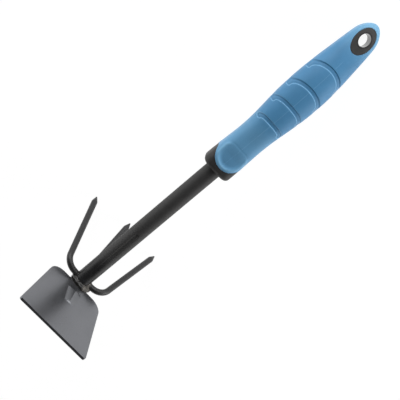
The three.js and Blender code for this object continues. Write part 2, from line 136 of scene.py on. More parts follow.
def hump(value: Array, width: float) -> Array:
    """A bell of height 1 at value 0: e to the minus square of the value over the width."""
    return np.exp(-(value / width) ** 2)


def soft_least(first: Array, second: Array, width: float) -> Array:
    """The smaller of two values, with the corner between them rounded.

    It is half of the sum less the root of the squared difference plus the squared width.

    Args:
        first: One set of values.
        second: The other set of values.
        width: How wide the rounded corner is.

    Returns:
        The rounded smaller value.
    """
    return (first + second - np.sqrt((first - second) ** 2 + width * width)) / 2


def between(first: Array | float, second: Array | float, share: Array) -> Array:
    """The values that lie a share of the way from the first to the second."""
    return first * (1 - share) + second * share


def column(count: int) -> Array:
    """Shares from 0 to 1 in equal steps, one in each row."""
    return np.linspace(0, 1, count)[:, None]


def quarter(steps: int) -> Array:
    """Angles from 0 to a right angle in equal steps, one in each row."""
    return np.linspace(0, math.pi / 2, steps + 1)[:, None]


def circle(count: int) -> Array:
    """Angles round a full turn in equal steps."""
    return 2 * math.pi * np.arange(count) / count


def rounding(radius: float, steps: int) -> tuple[Array, Array]:
    """A quarter circle at an edge, as distances from the two faces that it joins, by rows.

    Args:
        radius: The circle's radius.
        steps: How many steps it is made of.

    Returns:
        Distances that grow from 0 to the radius, and distances that fall from it to 0.
    """
    turn = quarter(steps)
    return radius * (1 - np.cos(turn)), radius * (1 - np.sin(turn))


def stacked(x: Array, y: Array, z: Array) -> Array:
    """Points of three coordinates, last axis three."""
    return np.stack(np.broadcast_arrays(x, y, z), axis=-1)


def unit(vectors: Array) -> Array:
    """Vectors brought to length one, last axis their coordinates."""
    return vectors / np.linalg.norm(vectors, axis=-1, keepdims=True)


def capped(points: Array) -> Array:
    """A ring of points drawn in to its middle in a few rows, for closing an end."""
    return between(points[None], points.mean(axis=0), column(4)[..., None])


def lumps(angle: Array, seed: int, waves: tuple[int, ...], size: float) -> Array:
    """Uneven waves round a ring: a sum of sines with drawn phases and heights.

    Args:
        angle: Angles round the ring.
        seed: The seed of the drawn phases and heights.
        waves: How many waves each sine has in a turn.
        size: The height of the whole.

    Returns:
        The height at each angle.
    """
    draw = np.random.default_rng(seed)
    phases = draw.uniform(0, 2 * math.pi, len(waves))
    heights = draw.uniform(0.5, 1.0, len(waves))
    total = sum(high * np.sin(count * angle + phase)
                for count, phase, high in zip(waves, phases, heights))
    return size * total / sum(heights)


def at_blade(height: Array, gap: float) -> Array:
    """Stations a gap behind the blade's leaning face, at heights over the middle line."""
    return gap - height * math.tan(BLADE_LEAN)


def linked(name: str, data: bpy.types.ID) -> Object:
    """A new object of a mesh, camera or light, put in the scene."""
    made = bpy.data.objects.new(name, data)
    bpy.context.scene.collection.objects.link(made)
    return made


def meshed(name: str, crease: float, points: Array, marks: Array, faces: list[list[int]]) -> Object:
    """Makes an object of points and faces, with its faces pointed outwards.

    Args:
        name: The object's name.
        crease: The angle in degrees above which an edge is shaded sharp.
        points: The points in the tool's frame.
        marks: The points' marks.
        faces: The points' numbers round each face.

    Returns:
        The new object, at the origin, with its place in its mesh.
    """
    mesh = bpy.data.meshes.new(name)
    mesh.from_pydata(FRAME.place(points).tolist(), [], faces)
    layer = mesh.attributes.new("tone_and_painted_light", "FLOAT", "POINT")
    layer.data.foreach_set("value", marks.astype(np.float32))
    work = bmesh.new()
    work.from_mesh(mesh)
    bmesh.ops.recalc_face_normals(work, faces=work.faces)
    open_edges = sum(1 for edge in work.edges if len(edge.link_faces) != 2)
    work.to_mesh(mesh)
    work.free()
    mesh.polygons.foreach_set("use_smooth", np.ones(len(mesh.polygons), bool))
    mesh.set_sharp_from_angle(angle=math.radians(crease))
    mesh.update()
    LOG.info("%s: %d faces, %d open edges", name, len(mesh.polygons), open_edges)
    return linked(name, mesh)


def welded(name: str, crease: float, *grids: Array | tuple[Array, Array]) -> Object:
    """Welds grids of points into one closed mesh and makes its object.

    A grid has a face between each four neighbours, and its last column joins the first.

    Args:
        name: The object's name.
        crease: The angle in degrees above which an edge is shaded sharp.
        grids: Each grid's points, rows by columns by three, alone or with a mark for each
        point, which its material reads, such as its tone or painted light.

    Returns:
        The new object.
    """
    points, marks, faces, count = [], [], [], 0
    for grid in grids:
        grid, mark = grid if isinstance(grid, tuple) else (grid, np.zeros(grid.shape[:2]))
        ids = np.arange(mark.size).reshape(mark.shape) + count
        ids = np.concatenate([ids, ids[:, :1]], axis=1)
        corners = (ids[:-1, :-1], ids[:-1, 1:], ids[1:, 1:], ids[1:, :-1])
        faces.append(np.stack(corners, axis=-1).reshape(-1, 4))
        points.append(grid.reshape(-1, 3))
        marks.append(mark.reshape(-1))
        count += mark.size
    points, marks = np.concatenate(points), np.concatenate(marks)
    keys = np.rint(points / WELD_STEP).astype(np.int64)
    _, first, ids = np.unique(keys, axis=0, return_index=True, return_inverse=True)
    faces = ids.reshape(-1)[np.concatenate(faces)]
    same = faces == np.roll(faces, -1, axis=1)
    parts = [faces[~same.any(axis=1)]]
    for corner in range(4):
        only = same[:, corner] & (same.sum(axis=1) == 1)
        parts.append(np.roll(faces[only], -corner - 1, axis=1)[:, :3])
    whole = [face for part in parts for face in part.tolist() if len(set(face)) == len(face)]
    return meshed(name, crease, points[first], marks[first], whole)


class Number:
    """A number's socket in a material, so that sums on it are written as plain arithmetic."""

    def __init__(self, graph: "Graph", socket: Socket) -> None:
        self.graph = graph
        self.socket = socket

    def __add__(self, other: "Number | float") -> "Number":
        """This plus another."""
        return self.graph.sum("ADD", self, other)

    __radd__ = __add__

    def __mul__(self, other: "Number | float") -> "Number":
        """This times another."""
        return self.graph.sum("MULTIPLY", self, other)

    def __sub__(self, other: "Number | float") -> "Number":
        """This less another."""
        return self.graph.sum("SUBTRACT", self, other)

    def __rsub__(self, other: float) -> "Number":
        """Another less this."""
        return self.graph.sum("SUBTRACT", other, self)


class Graph:
    """The nodes of one material, or of the world.

    Attributes:
        owner: The material or world that the nodes belong to.
    """

    def __init__(self, owner: Material | bpy.types.World) -> None:
        self.owner = owner
        owner.use_nodes = True
        self.tree = owner.node_tree
        self.tree.nodes.clear()

    @classmethod
    def material(cls, name: str) -> "Graph":
        """The empty graph of a new material."""
        return cls(bpy.data.materials.new(name))

    def node(self, kind: str, inputs: dict | None = None, **settings: str) -> bpy.types.Node:
        """Adds a node, sets its settings first and then its sockets.

        Args:
            kind: The node's type, such as ShaderNodeMath.
            inputs: Values or links of its sockets, by name or number.
            settings: The node's own settings, such as its operation.

        Returns:
            The new node.
        """
        made = self.tree.nodes.new(kind)
        for key, value in settings.items():
            setattr(made, key, value)
        for key, value in (inputs or {}).items():
            if isinstance(value, Number):
                value = value.socket
            if isinstance(value, Socket):
                self.tree.links.new(value, made.inputs[key])
            else:
                made.inputs[key].default_value = value
        return made

    def number(self, kind: str, output: int | str, inputs: dict, **settings: str) -> Number:
        """One output of a new node, as a number; see node for the rest."""
        return Number(self, self.node(kind, inputs, **settings).outputs[output])

    def sum(self, operation: str, first: Number | float, second: Number | float) -> Number:
        """A Math node on two numbers, as a number."""
        return self.number("ShaderNodeMath", 0, {0: first, 1: second}, operation=operation)

    def place(self) -> Socket:
        """The point in the object's own coordinates."""
        return self.node("ShaderNodeTexCoord").outputs["Object"]

    def along(self) -> Number:
        """The place along the object's own X, in metres."""
        return self.number("ShaderNodeSeparateXYZ", "X", {0: self.place()})

    def noise(self, size: float, detail: float, shift: float = 0.0,
              stretch: Triple = (1, 1, 1)) -> Number:
        """Noise whose features are about one size across.

        Args:
            size: The features' size in millimetres.
            detail: How many finer layers it has.
            shift: A move along all axes, so that two patterns differ.
            stretch: How much longer the features are along each axis.

        Returns:
            The noise, about 0.5 on average.
        """
        scale = tuple(1 / part for part in stretch)
        mapping = self.node("ShaderNodeMapping", {
            "Vector": self.place(), "Scale": scale, "Location": (shift,) * 3})
        return self.number("ShaderNodeTexNoise", "Fac", {
            "Vector": mapping.outputs[0], "Scale": 1 / (size * METRES), "Detail": detail})

    def band(self, value: Number, low: float, high: float, start: float = 0.0,
             end: float = 1.0) -> Number:
        """A number stepped softly from start to end between low and high."""
        inputs = {"Value": value, "From Min": low, "From Max": high, "To Min": start, "To Max": end}
        return self.number("ShaderNodeMapRange", "Result", inputs, interpolation_type="SMOOTHSTEP")

    def mark(self) -> Number:
        """The mark that the mesh carries at each point."""
        return self.number("ShaderNodeAttribute", "Fac", {}, attribute_name="tone_and_painted_light")

    def blend(self, share: Number, first: Triple | Socket, second: Triple | Socket) -> Socket:
        """Two colours mixed by a share of the second."""
        ends = [value if isinstance(value, Socket) else (*value, 1.0) for value in (first, second)]
        mix = self.node("ShaderNodeMix", {0: share, 6: ends[0], 7: ends[1]}, data_type="RGBA")
        return mix.outputs[2]

    def bump(self, height: Number, depth: float) -> Socket:
        """A Bump node: height from 0 to 1 over a depth in millimetres."""
        inputs = {"Strength": 1.0, "Distance": depth * METRES, "Height": height}
        return self.node("ShaderNodeBump", inputs).outputs[0]

    def finish(self, colour: Socket, roughness: Number, normal: Socket,
               more: dict | None = None) -> Material:
        """Adds the shader and the output, and returns the material."""
        inputs = {"Base Color": colour, "Roughness": roughness, "Normal": normal, **(more or {})}
        made = self.node("ShaderNodeBsdfPrincipled", inputs)
        self.node("ShaderNodeOutputMaterial", {"Surface": made.outputs[0]})
        return self.owner


@dataclass(frozen=True)
class BladeSteel:
    """Rolled steel with a clear satin coat: grey, faintly grained, with a few dark specks.

    The mark is above half where the steel is burnt by the weld and where painted shade darkens it
    next to the weld and the tube.
    """

    face: Triple = (0.178, 0.1825, 0.196)
    speck: Triple = (0.09, 0.075, 0.06)
    # Weld soot, and painted shade next to the weld and the tube.
    soot_and_shade: Triple = (0.018, 0.016, 0.014)
    roughness: float = 0.23
    bump: float = 0.008

    def build(self) -> Material:
        """Makes the material."""
        graph = Graph.material("blade_steel_finish")
        cloud = graph.noise(26, 3, shift=0.3)
        grain = graph.noise(0.5, 2, stretch=(1, 1, 6))
        fine = graph.noise(0.35, 1, shift=0.7)
        specks = graph.band(graph.noise(1.1, 1, shift=1.9), 0.735, 0.76)
        pits = graph.band(graph.noise(0.6, 0, shift=2.3), 0.77, 0.8)
        dim, bright = (tuple(level * part for part in self.face) for level in (0.93, 1.25))
        shade = graph.blend(graph.band(cloud, 0.3, 0.7), dim, self.face)
        shade = graph.blend(grain * 0.16, shade, bright)
        shade = graph.blend(specks * 0.45 + pits * 0.4, shade, self.speck)
        # Weld soot and painted shade round the neck, where the mark is high.
        burnt_and_shaded = graph.band(graph.mark() + graph.noise(4, 3, shift=1.1) * 0.6, 0.55, 1.05)
        shade = graph.blend(burnt_and_shaded, shade, self.soot_and_shade)
        rough = self.roughness + cloud * 0.08 + grain * 0.06 + specks * 0.1 + burnt_and_shaded * 0.12
        normal = graph.bump(grain * 0.6 + fine * 0.4 - pits, self.bump)
        return graph.finish(shade, rough, normal, {"Metallic": 0.9 - burnt_and_shaded * 0.7})


@dataclass(frozen=True)
class BlackSteel:
    """Black satin paint on steel, with a soft orange peel, paler dusty places and painted light.

    The mark is 1 where painted reflection makes the paint lighter and duller, and 2 where a painted
    highlight line lies.
    """

    paint: Triple = (0.0115, 0.0115, 0.012)
    # Painted reflection: lighter paint away from the blade.
    painted_reflection: Triple = (0.03, 0.0295, 0.0295)
    # Paler tone for dust and cloud, also the colour of a painted highlight line.
    pale_and_highlight: Triple = (0.045, 0.043, 0.041)
    roughness: float = 0.34
    bump: float = 0.009

    def build(self) -> Material:
        """Makes the material."""
        graph = Graph.material("black_steel_finish")
        peel = graph.noise(0.9, 2)
        cloud = graph.noise(9, 3, shift=0.4)
        dust = graph.band(graph.noise(0.5, 1, shift=1.3), 0.66, 0.74)
        # Painted reflection up to mark 1, then a painted highlight line up to mark 2.
        painted_lighter = graph.band(graph.mark(), 0.0, 1.0)
        shade = graph.blend(painted_lighter, self.paint, self.painted_reflection)
        shade = graph.blend(graph.band(graph.mark(), 1.0, 2.0), shade, self.pale_and_highlight)
        shade = graph.blend(graph.band(cloud, 0.45, 0.75) * 0.3 + dust * 0.3, shade, self.pale_and_highlight)
        rough = self.roughness + cloud * 0.1 + dust * 0.1 + painted_lighter * 0.2
        normal = graph.bump(peel + dust * 0.4, self.bump)
        return graph.finish(shade, rough, normal)


@dataclass(frozen=True)
class WeldBead:
    """Painted weld metal: brown-black, lumpy, and scaled where its mark says it is bare."""

    paint: Triple = (0.012, 0.0115, 0.011)
    scale: Triple = (0.135, 0.123, 0.108)
    roughness: float = 0.2
    bump: float = 0.07

    def build(self) -> Material:
        """Makes the material."""
        graph = Graph.material("weld_bead_finish")
        relief = graph.noise(1.6, 3)
        crust = graph.noise(0.45, 2, shift=0.8)
        bare = graph.band(graph.mark(), 0.0, 1.0)
        flaky = bare * (0.3 + graph.band(relief, 0.42, 0.62) * 0.7)
        shade = graph.blend(flaky, self.paint, self.scale)
        rough = self.roughness + crust * 0.15 + bare * 0.25
        return graph.finish(shade, rough, graph.bump(relief * 0.7 + crust * 0.3, self.bump))


@dataclass(frozen=True)
class CorePlastic:
    """Hard black moulding: charcoal, with a fine spark texture and faint flow marks.

    The bore's mark is above 0, where it is polished, and below 0 at its lip, with painted shadow
    there and a little painted shade on the faces.
    """

    body: Triple = (0.022, 0.0212, 0.0212)
    flow: Triple = (0.038, 0.036, 0.034)
    # The colour of painted shadow at the hole's lip and of painted shade on the faces.
    lip: Triple = (0.002, 0.002, 0.003)
    roughness: float = 0.52
    polished: float = 0.16
    bump: float = 0.016

    def build(self) -> Material:
        """Makes the material."""
        graph = Graph.material("core_plastic_finish")
        spark = graph.noise(0.28, 2)
        cloud = graph.noise(7, 3, shift=0.5)
        shade = graph.blend(graph.band(cloud, 0.35, 0.7) * 0.5 + spark * 0.15, self.body, self.flow)
        # Painted shadow and painted shade where the mark is below 0.
        shade = graph.blend(graph.band(graph.mark() * -1, 0.0, 0.8), shade, self.lip)
        bore = graph.band(graph.mark(), 0.2, 1.0)
        rough = (self.roughness + spark * 0.12 - cloud * 0.08) * (1 - bore) + bore * self.polished
        return graph.finish(shade, rough, graph.bump(spark * (1 - bore), self.bump))


@dataclass(frozen=True)
class CoverRubber:
    """Soft blue moulding: matt, finely textured, and paler towards both its ends by painted light.

    Where its mark is above 0 it is paler, with painted highlight on rims and edges and a pale
    parting line; where it is below, painted shade makes it deeper. The painted light on the
    front and the rear grows between two places along the tool, in metres.
    """

    body: Triple = (0.078, 0.27, 0.5)
    # Pale blue of painted light at the ends and of painted highlight.
    pale: Triple = (0.25, 0.53, 0.77)
    # Deeper blue for random tone, also of painted shade in hollows.
    deep: Triple = (0.05, 0.18, 0.34)
    # Where painted light turns the front and the rear pale, in metres.
    front: Pair = (0.068, 0.045)
    rear: Pair = (0.14, 0.176)
    roughness: float = 0.47
    bump: float = 0.02

    def build(self) -> Material:
        """Makes the material."""
        graph = Graph.material("cover_rubber_finish")
        skin = graph.noise(0.32, 3)
        cloud = graph.noise(18, 3, shift=0.6)
        tone_and_painted_light, along = graph.mark(), graph.along()
        # Painted light: paler towards the front and the butt.
        ends = graph.band(along, *self.front) * 0.3 + graph.band(along, *self.rear) * 0.7
        shade = graph.blend(graph.band(cloud, 0.3, 0.75) * 0.22, self.body, self.deep)
        shade = graph.blend(ends, shade, self.pale)
        # Painted highlight where the mark is above 0, painted shade where it is below.
        shade = graph.blend(graph.band(tone_and_painted_light, 0.0, 1.0) * 0.75, shade, self.pale)
        shade = graph.blend(graph.band(tone_and_painted_light * -1, 0.0, 1.0) * 0.6, shade, self.deep)
        rough = self.roughness + skin * 0.1 + cloud * 0.06
        return graph.finish(shade, rough, graph.bump(skin, self.bump), {
            "Sheen Weight": 0.25, "Sheen Roughness": 0.35, "Specular IOR Level": 0.4})


class Section(NamedTuple):
    """The handle's cross-section at distances along it: half width, heights, place and power."""

    width: Array
    crown: Array
    belly: Array
    middle: Array
    power: Array


@dataclass(frozen=True)
class HandleForm:
    """The moulded handle's outer surface, which core, cover and eyelet share.

    The section at each station is a superellipse: the share of the half width raised to the
    section's power, plus the share of the height raised to it, is one.

    Attributes:
        start: Where the handle begins on the shaft.
        length: The handle's length.
        width: The full width where it is widest.
        crown: The height above the middle where it is highest.
        belly: The depth below the middle where it is deepest.
        droop: How far the middle drops towards the butt.
        front_radius: The rounding of the front edge.
        butt_run: The length over which the butt closes.
        samples: How many points the curves through the rows of shares have.
        shares: Rows of station, width, crown, belly, droop and power along the handle.
    """

    start: float = 168.5
    length: float = 182.0
    width: float = 35.6
    crown: float = 15.6
    belly: float = 15.0
    droop: float = 20.0
    front_radius: float = 4.2
    butt_run: float = 15.0
    samples: int = 6001
    shares: tuple[tuple[float, ...], ...] = (
        (0.00, 0.850, 0.84, 0.86, -0.03, 3.4), (0.06, 0.850, 0.84, 0.88, -0.05, 3.2),
        (0.14, 0.820, 0.82, 0.95, -0.09, 2.8), (0.23, 0.798, 0.80, 1.00, -0.14, 2.4),
        (0.31, 0.825, 0.88, 1.01, -0.14, 2.3), (0.39, 0.900, 0.95, 1.02, -0.11, 2.3),
        (0.47, 0.972, 0.99, 1.02, -0.05, 2.3), (0.56, 1.000, 1.00, 1.00, 0.03, 2.3),
        (0.64, 0.980, 1.00, 0.95, 0.14, 2.3), (0.72, 0.915, 0.97, 0.82, 0.31, 2.4),
        (0.80, 0.825, 0.88, 0.68, 0.49, 2.7), (0.88, 0.730, 0.72, 0.55, 0.68, 3.4),
        (0.94, 0.640, 0.60, 0.46, 0.83, 4.0), (1.00, 0.540, 0.48, 0.38, 0.95, 4.0))

    def curve(self, shares: Array) -> Array:
        """The table of shares on Catmull-Rom curves through its rows.

        Between two rows the curve is the cubic with their values at its ends, and half the
        difference of each one's neighbours as its slopes.

        Args:
            shares: Stations as shares of the length.

        Returns:
            The five other columns at these stations, last axis five.
        """
        table = np.array(self.shares)
        last = len(table) - 1
        places = np.linspace(0, last, self.samples)
        knot = np.minimum(places.astype(int), last - 1)
        t = (places - knot)[:, None]
        before, low = table[np.maximum(knot - 1, 0)], table[knot]
        high, after = table[knot + 1], table[np.minimum(knot + 2, last)]
        rise, fall = (high - before) / 2, (after - low) / 2
        line = ((2 * low - 2 * high + rise + fall) * t**3
                + (3 * high - 3 * low - 2 * rise - fall) * t**2 + rise * t + low)
        return np.stack([np.interp(shares, line[:, 0], other) for other in line.T[1:]], axis=-1)

    def section(self, along: Array) -> Section:
        """The cross-section at distances along the handle.

        Args:
            along: Distances from the handle's front, in millimetres.

        Returns:
            Half width, crown, belly, the middle's height and the power.
        """
        wide, up, down, sag, power = np.moveaxis(self.curve(along / self.length), -1, 0)
        front = 1 - np.minimum(along / self.front_radius, 1)
        butt = 1 - np.minimum((self.length - along) / self.butt_run, 1)
        edge = self.front_radius * (1 - np.sqrt(np.clip(1 - front**2, 0, 1)))
        end = np.sqrt(np.clip(1 - butt**2, 0, 1))
        sizes = (wide * self.width / 2, up * self.crown, down * self.belly)
        return Section(*[(size - edge) * end for size in sizes], -sag * self.droop, power)

    def around(self, along: Array, angle: Array, inset: Array | float = 0.0) -> Array:
        """Points of the surface at distances along it and angles about the section's middle.

        The distance from the middle is one over the power's root of the sum of the cosine
        over the half width and the sine over the height, each raised to the power.

        Args:
            along: Distances from the handle's front.
            angle: Angles about the middle, 0 at the left side and a right angle at the top.
            inset: How far the surface is moved inwards.

        Returns:
            The points, last axis three.
        """
        part = self.section(along)
        cosine, sine = np.cos(angle), np.sin(angle)
        wide = np.maximum(part.width - inset, TINY)
        high = np.maximum(np.where(sine > 0, part.crown, part.belly) - inset, TINY)
        total = (np.abs(cosine) / wide) ** part.power + (np.abs(sine) / high) ** part.power
        reach = total ** (-1 / part.power)
        return stacked(self.start + along, reach * cosine, part.middle + reach * sine)

    def over(self, along: Array, across: Array, sign: int, inset: Array | float = 0.0) -> Array:
        """Points of the upper or lower skin above or below plan points.

        The height is the crown, or the belly, times the power's root of one less the share
        of the half width raised to the power.

        Args:
            along: Distances from the handle's front.
            across: Distances to the left of the middle.
            sign: 1 for the upper skin, -1 for the lower.
            inset: How far the skin is lowered.

        Returns:
            The points, last axis three.
        """
        part = self.section(along)
        share = np.clip(np.abs(across) / np.maximum(part.width, TINY), 0, 1)
        full = part.crown if sign > 0 else part.belly
        high = full * (1 - share**part.power) ** (1 / part.power)
        return stacked(self.start + along, across, part.middle + sign * np.maximum(high - inset, 0))


@dataclass(frozen=True)
class HangHole:
    """The oval eyelet's place and sizes.

    Attributes:
        along: Its middle's distance from the handle's front.
        ring: The eyelet's length and width.
        hole: The hole's length and width.
        lean: How far the hole leans with the butt, about its middle height.
        play: The line of shadow between the eyelet and the cover.
    """

    along: float = 165.0
    ring: Pair = (25.2, 17.2)
    hole: Pair = (12.6, 9.8)
    lean: float = math.radians(8.0)
    play: float = 0.12

    def oval(self, size: Pair, grow: Array | float, heading: Array) -> tuple[Array, Array]:
        """Plan points of an oval at headings about its middle.

        Args:
            size: The oval's length and width.
            grow: How much each half axis is enlarged.
            heading: Headings about its middle, 0 towards the butt.

        Returns:
            Distances along the handle and across it.
        """
        long, short = size[0] / 2 + grow, size[1] / 2 + grow
        reach = 1 / np.sqrt((np.cos(heading) / long) ** 2 + (np.sin(heading) / short) ** 2)
        return self.along + reach * np.cos(heading), reach * np.sin(heading)


@dataclass(frozen=True)
class ThumbPad:
    """The soft raised rim and shallow dish for the thumb, round in front and flatter behind.

    Attributes:
        corner: The radius of the rear corners.
        rise: How high the rim stands out.
        rim: How far inside the outline its top lies.
        turned: How far to each side of a rear corner's diagonal it fades.
        dish, crease: How deep they are.
        front_run, rear_run: Where the dish's wall begins and ends, inside the outline.
        crease_gap: How far outside the outline the crease lies.
        crease_ends: Between which distances from the middle line it fades out.
        pale, rim_highlight_lost: How strongly painted highlight pales the rim, and which share of
            that is lost behind.
        crease_painted_shade, dish_painted_shade: How much painted shade deepens their colour.
    """

    start: float = 7.9
    length: float = 23.4
    width: float = 25.2
    corner: float = 6.5
    rise: float = 0.55
    rim: float = 1.3
    rim_width: float = 1.15
    turned: float = 3.0
    dish: float = 0.8
    front_run: Pair = (0.6, 5.2)
    rear_run: Pair = (0.4, 11.0)
    crease: float = 0.15
    crease_gap: float = 0.1
    crease_width: float = 0.6
    crease_ends: Pair = (7.0, 11.5)
    pale: float = 0.68
    rim_highlight_width: float = 1.5
    rim_highlight_lost: float = 0.95
    crease_painted_shade: float = 0.3
    dish_painted_shade: float = 0.42

    def from_corner(self, along: Array, across: Array) -> tuple[Array, Array]:
        """How far to the side and behind the middle of the nearer rear corner's arc."""
        side = np.abs(across) - (self.width / 2 - self.corner)
        return side, along - (self.start + self.length - self.corner)

    def outside(self, along: Array, across: Array) -> Array:
        """Distance outside the outline, negative inside it.

        In front it is the distance to a circle, behind it the distance to a box with round
        corners.
        """
        half = self.width / 2
        ahead = along - (self.start + half)
        side, back = self.from_corner(along, across)
        box = (np.minimum(np.maximum(side, back), 0)
               + np.hypot(np.maximum(side, 0), np.maximum(back, 0)) - self.corner)
        return np.where(ahead < 0, np.hypot(ahead, across) - half, box)

    def depth(self, along: Array, across: Array) -> tuple[Array, Array]:
        """How far the pad lowers the skin, and its marks of painted highlight and painted shade.

        The rim is a bell-shaped hump just inside the outline that fades out behind, the dish
        a soft step inside the rim that runs out slowly behind, where a shallow crease lies.
        """
        gap, half = self.outside(along, across), self.width / 2
        side, back = self.from_corner(along, across)
        behind = smooth(back - side, -self.turned, self.turned)
        rim = hump(gap + self.rim, self.rim_width) * (1 - behind)
        ahead = np.minimum(along - (self.start + half), 0)
        dish = smooth(half - np.hypot(ahead, across), *self.front_run)
        dish = dish * smooth(self.corner - back, *self.rear_run)
        crease = hump(gap - self.crease_gap, self.crease_width) * behind
        crease = crease * (1 - smooth(np.abs(across), *self.crease_ends))
        depth = self.dish * dish - self.rise * rim + self.crease * crease
        # Painted highlight on the rim; painted shade in the crease and the dish.
        tone_and_painted_light = self.pale * hump(gap + self.rim, self.rim_highlight_width) * (1 - self.rim_highlight_lost * behind)
        return depth, tone_and_painted_light - self.crease_painted_shade * crease - self.dish_painted_shade * dish


@dataclass(frozen=True)
class ArcGrooves:
    """Four arc grooves across the grip, bulging towards the butt: channels with soft walls.

    Attributes:
        middles: Where each groove crosses the middle line, from the handle's front.
        spans: The full width of each arc.
        sags: How far each arc's ends lie in front of its middle.
        powers: The power of each arc's superellipse.
        butt_edge_light: How much painted highlight each groove's edge towards the butt has, or,
        where negative, painted shade.
        width, deep, wall: The channels' width and depth, and how wide each wall is.
        edge: How far outside the channel its painted highlight lies, and how wide that is.
            dark, floor_shade_lost: How much painted shade deepens the floor's colour, and the share
                of it
            lost behind.
        blur: How far from the arc its two sides are told apart fully.
        reach: How far from the arc the groove is worked out.
    """

    middles: tuple[float, ...] = (65.88, 86.81, 108.11, 131.22)
    spans: tuple[float, ...] = (25.0, 31.2, 33.6, 33.4)
    sags: tuple[float, ...] = (3.6, 6.6, 10.0, 11.6)
    powers: tuple[float, ...] = (2.5, 2.4, 2.1, 2.0)
    butt_edge_light: tuple[float, ...] = (0.75, 0.6, -0.35, -0.45)
    width: float = 3.2
    deep: float = 0.8
    wall: float = 0.8
    edge: float = 0.3
    dark: float = 0.75
    floor_shade_lost: float = 0.75
    blur: float = 0.4
    reach: float = 4.0

    def stations(self, step: float) -> Array:
        """Distances along the handle, by one step where grooves run and two between them."""
        reach = self.width / 2 + self.wall
        bands = [np.arange(middle - sag - reach, middle + reach, step)
                 for middle, sag in zip(self.middles, self.sags)]
        plain = [np.arange(low[-1] + 2 * step, high[0] - step, 2 * step)
                 for low, high in zip(bands, bands[1:])]
        return np.sort(np.concatenate(bands + plain))

    def depth(self, along: Array, across: Array) -> tuple[Array, Array]:
        """How far the grooves lower the skin, and the painted highlight on their edges and the
        painted shade on their floors.

        Each groove follows a superellipse arc in plan: the share of the half span raised to
        the power, plus the share of the sag left raised to it, is one. Its depth is a soft
        step of the distance to the arc, from the flat floor up to the skin.
        """
        depth, tone_and_painted_light = np.zeros_like(along), np.zeros_like(along)
        half = self.width / 2
        turn = np.linspace(0, math.pi, 241)
        rows = zip(self.middles, self.spans, self.sags, self.powers, self.butt_edge_light)
        for middle, span, sag, power, lip in rows:
            arc_y = -span / 2 * np.sign(np.cos(turn)) * np.abs(np.cos(turn)) ** (2 / power)
            arc_x = middle - sag * (1 - np.sin(turn) ** (2 / power))
            near = (along > middle - sag - self.reach) & (along < middle + self.reach)
            x, y = along[near], across[near]
            gap = np.hypot(x[:, None] - arc_x, y[:, None] - arc_y).min(axis=1)
            share = np.minimum(np.abs(y) / (span / 2), 1)
            line = middle - sag * (1 - (1 - share**power) ** (1 / power))
            behind = smooth(x - line, -self.blur, self.blur)
            cut = 1 - smooth(gap, half - self.wall / 2, half + self.wall / 2)
            # Painted highlight on the edges, painted shade on the floor.
            edge = hump(gap - half - self.edge, self.edge) * (1 - behind + lip * behind)
            floor = cut * (1 - self.floor_shade_lost * smooth((2 * behind - 1) * gap, -half, half))
            depth[near] = np.maximum(depth[near], self.deep * cut)
            tone_and_painted_light[near] += edge - self.dark * floor
        return depth, tone_and_painted_light


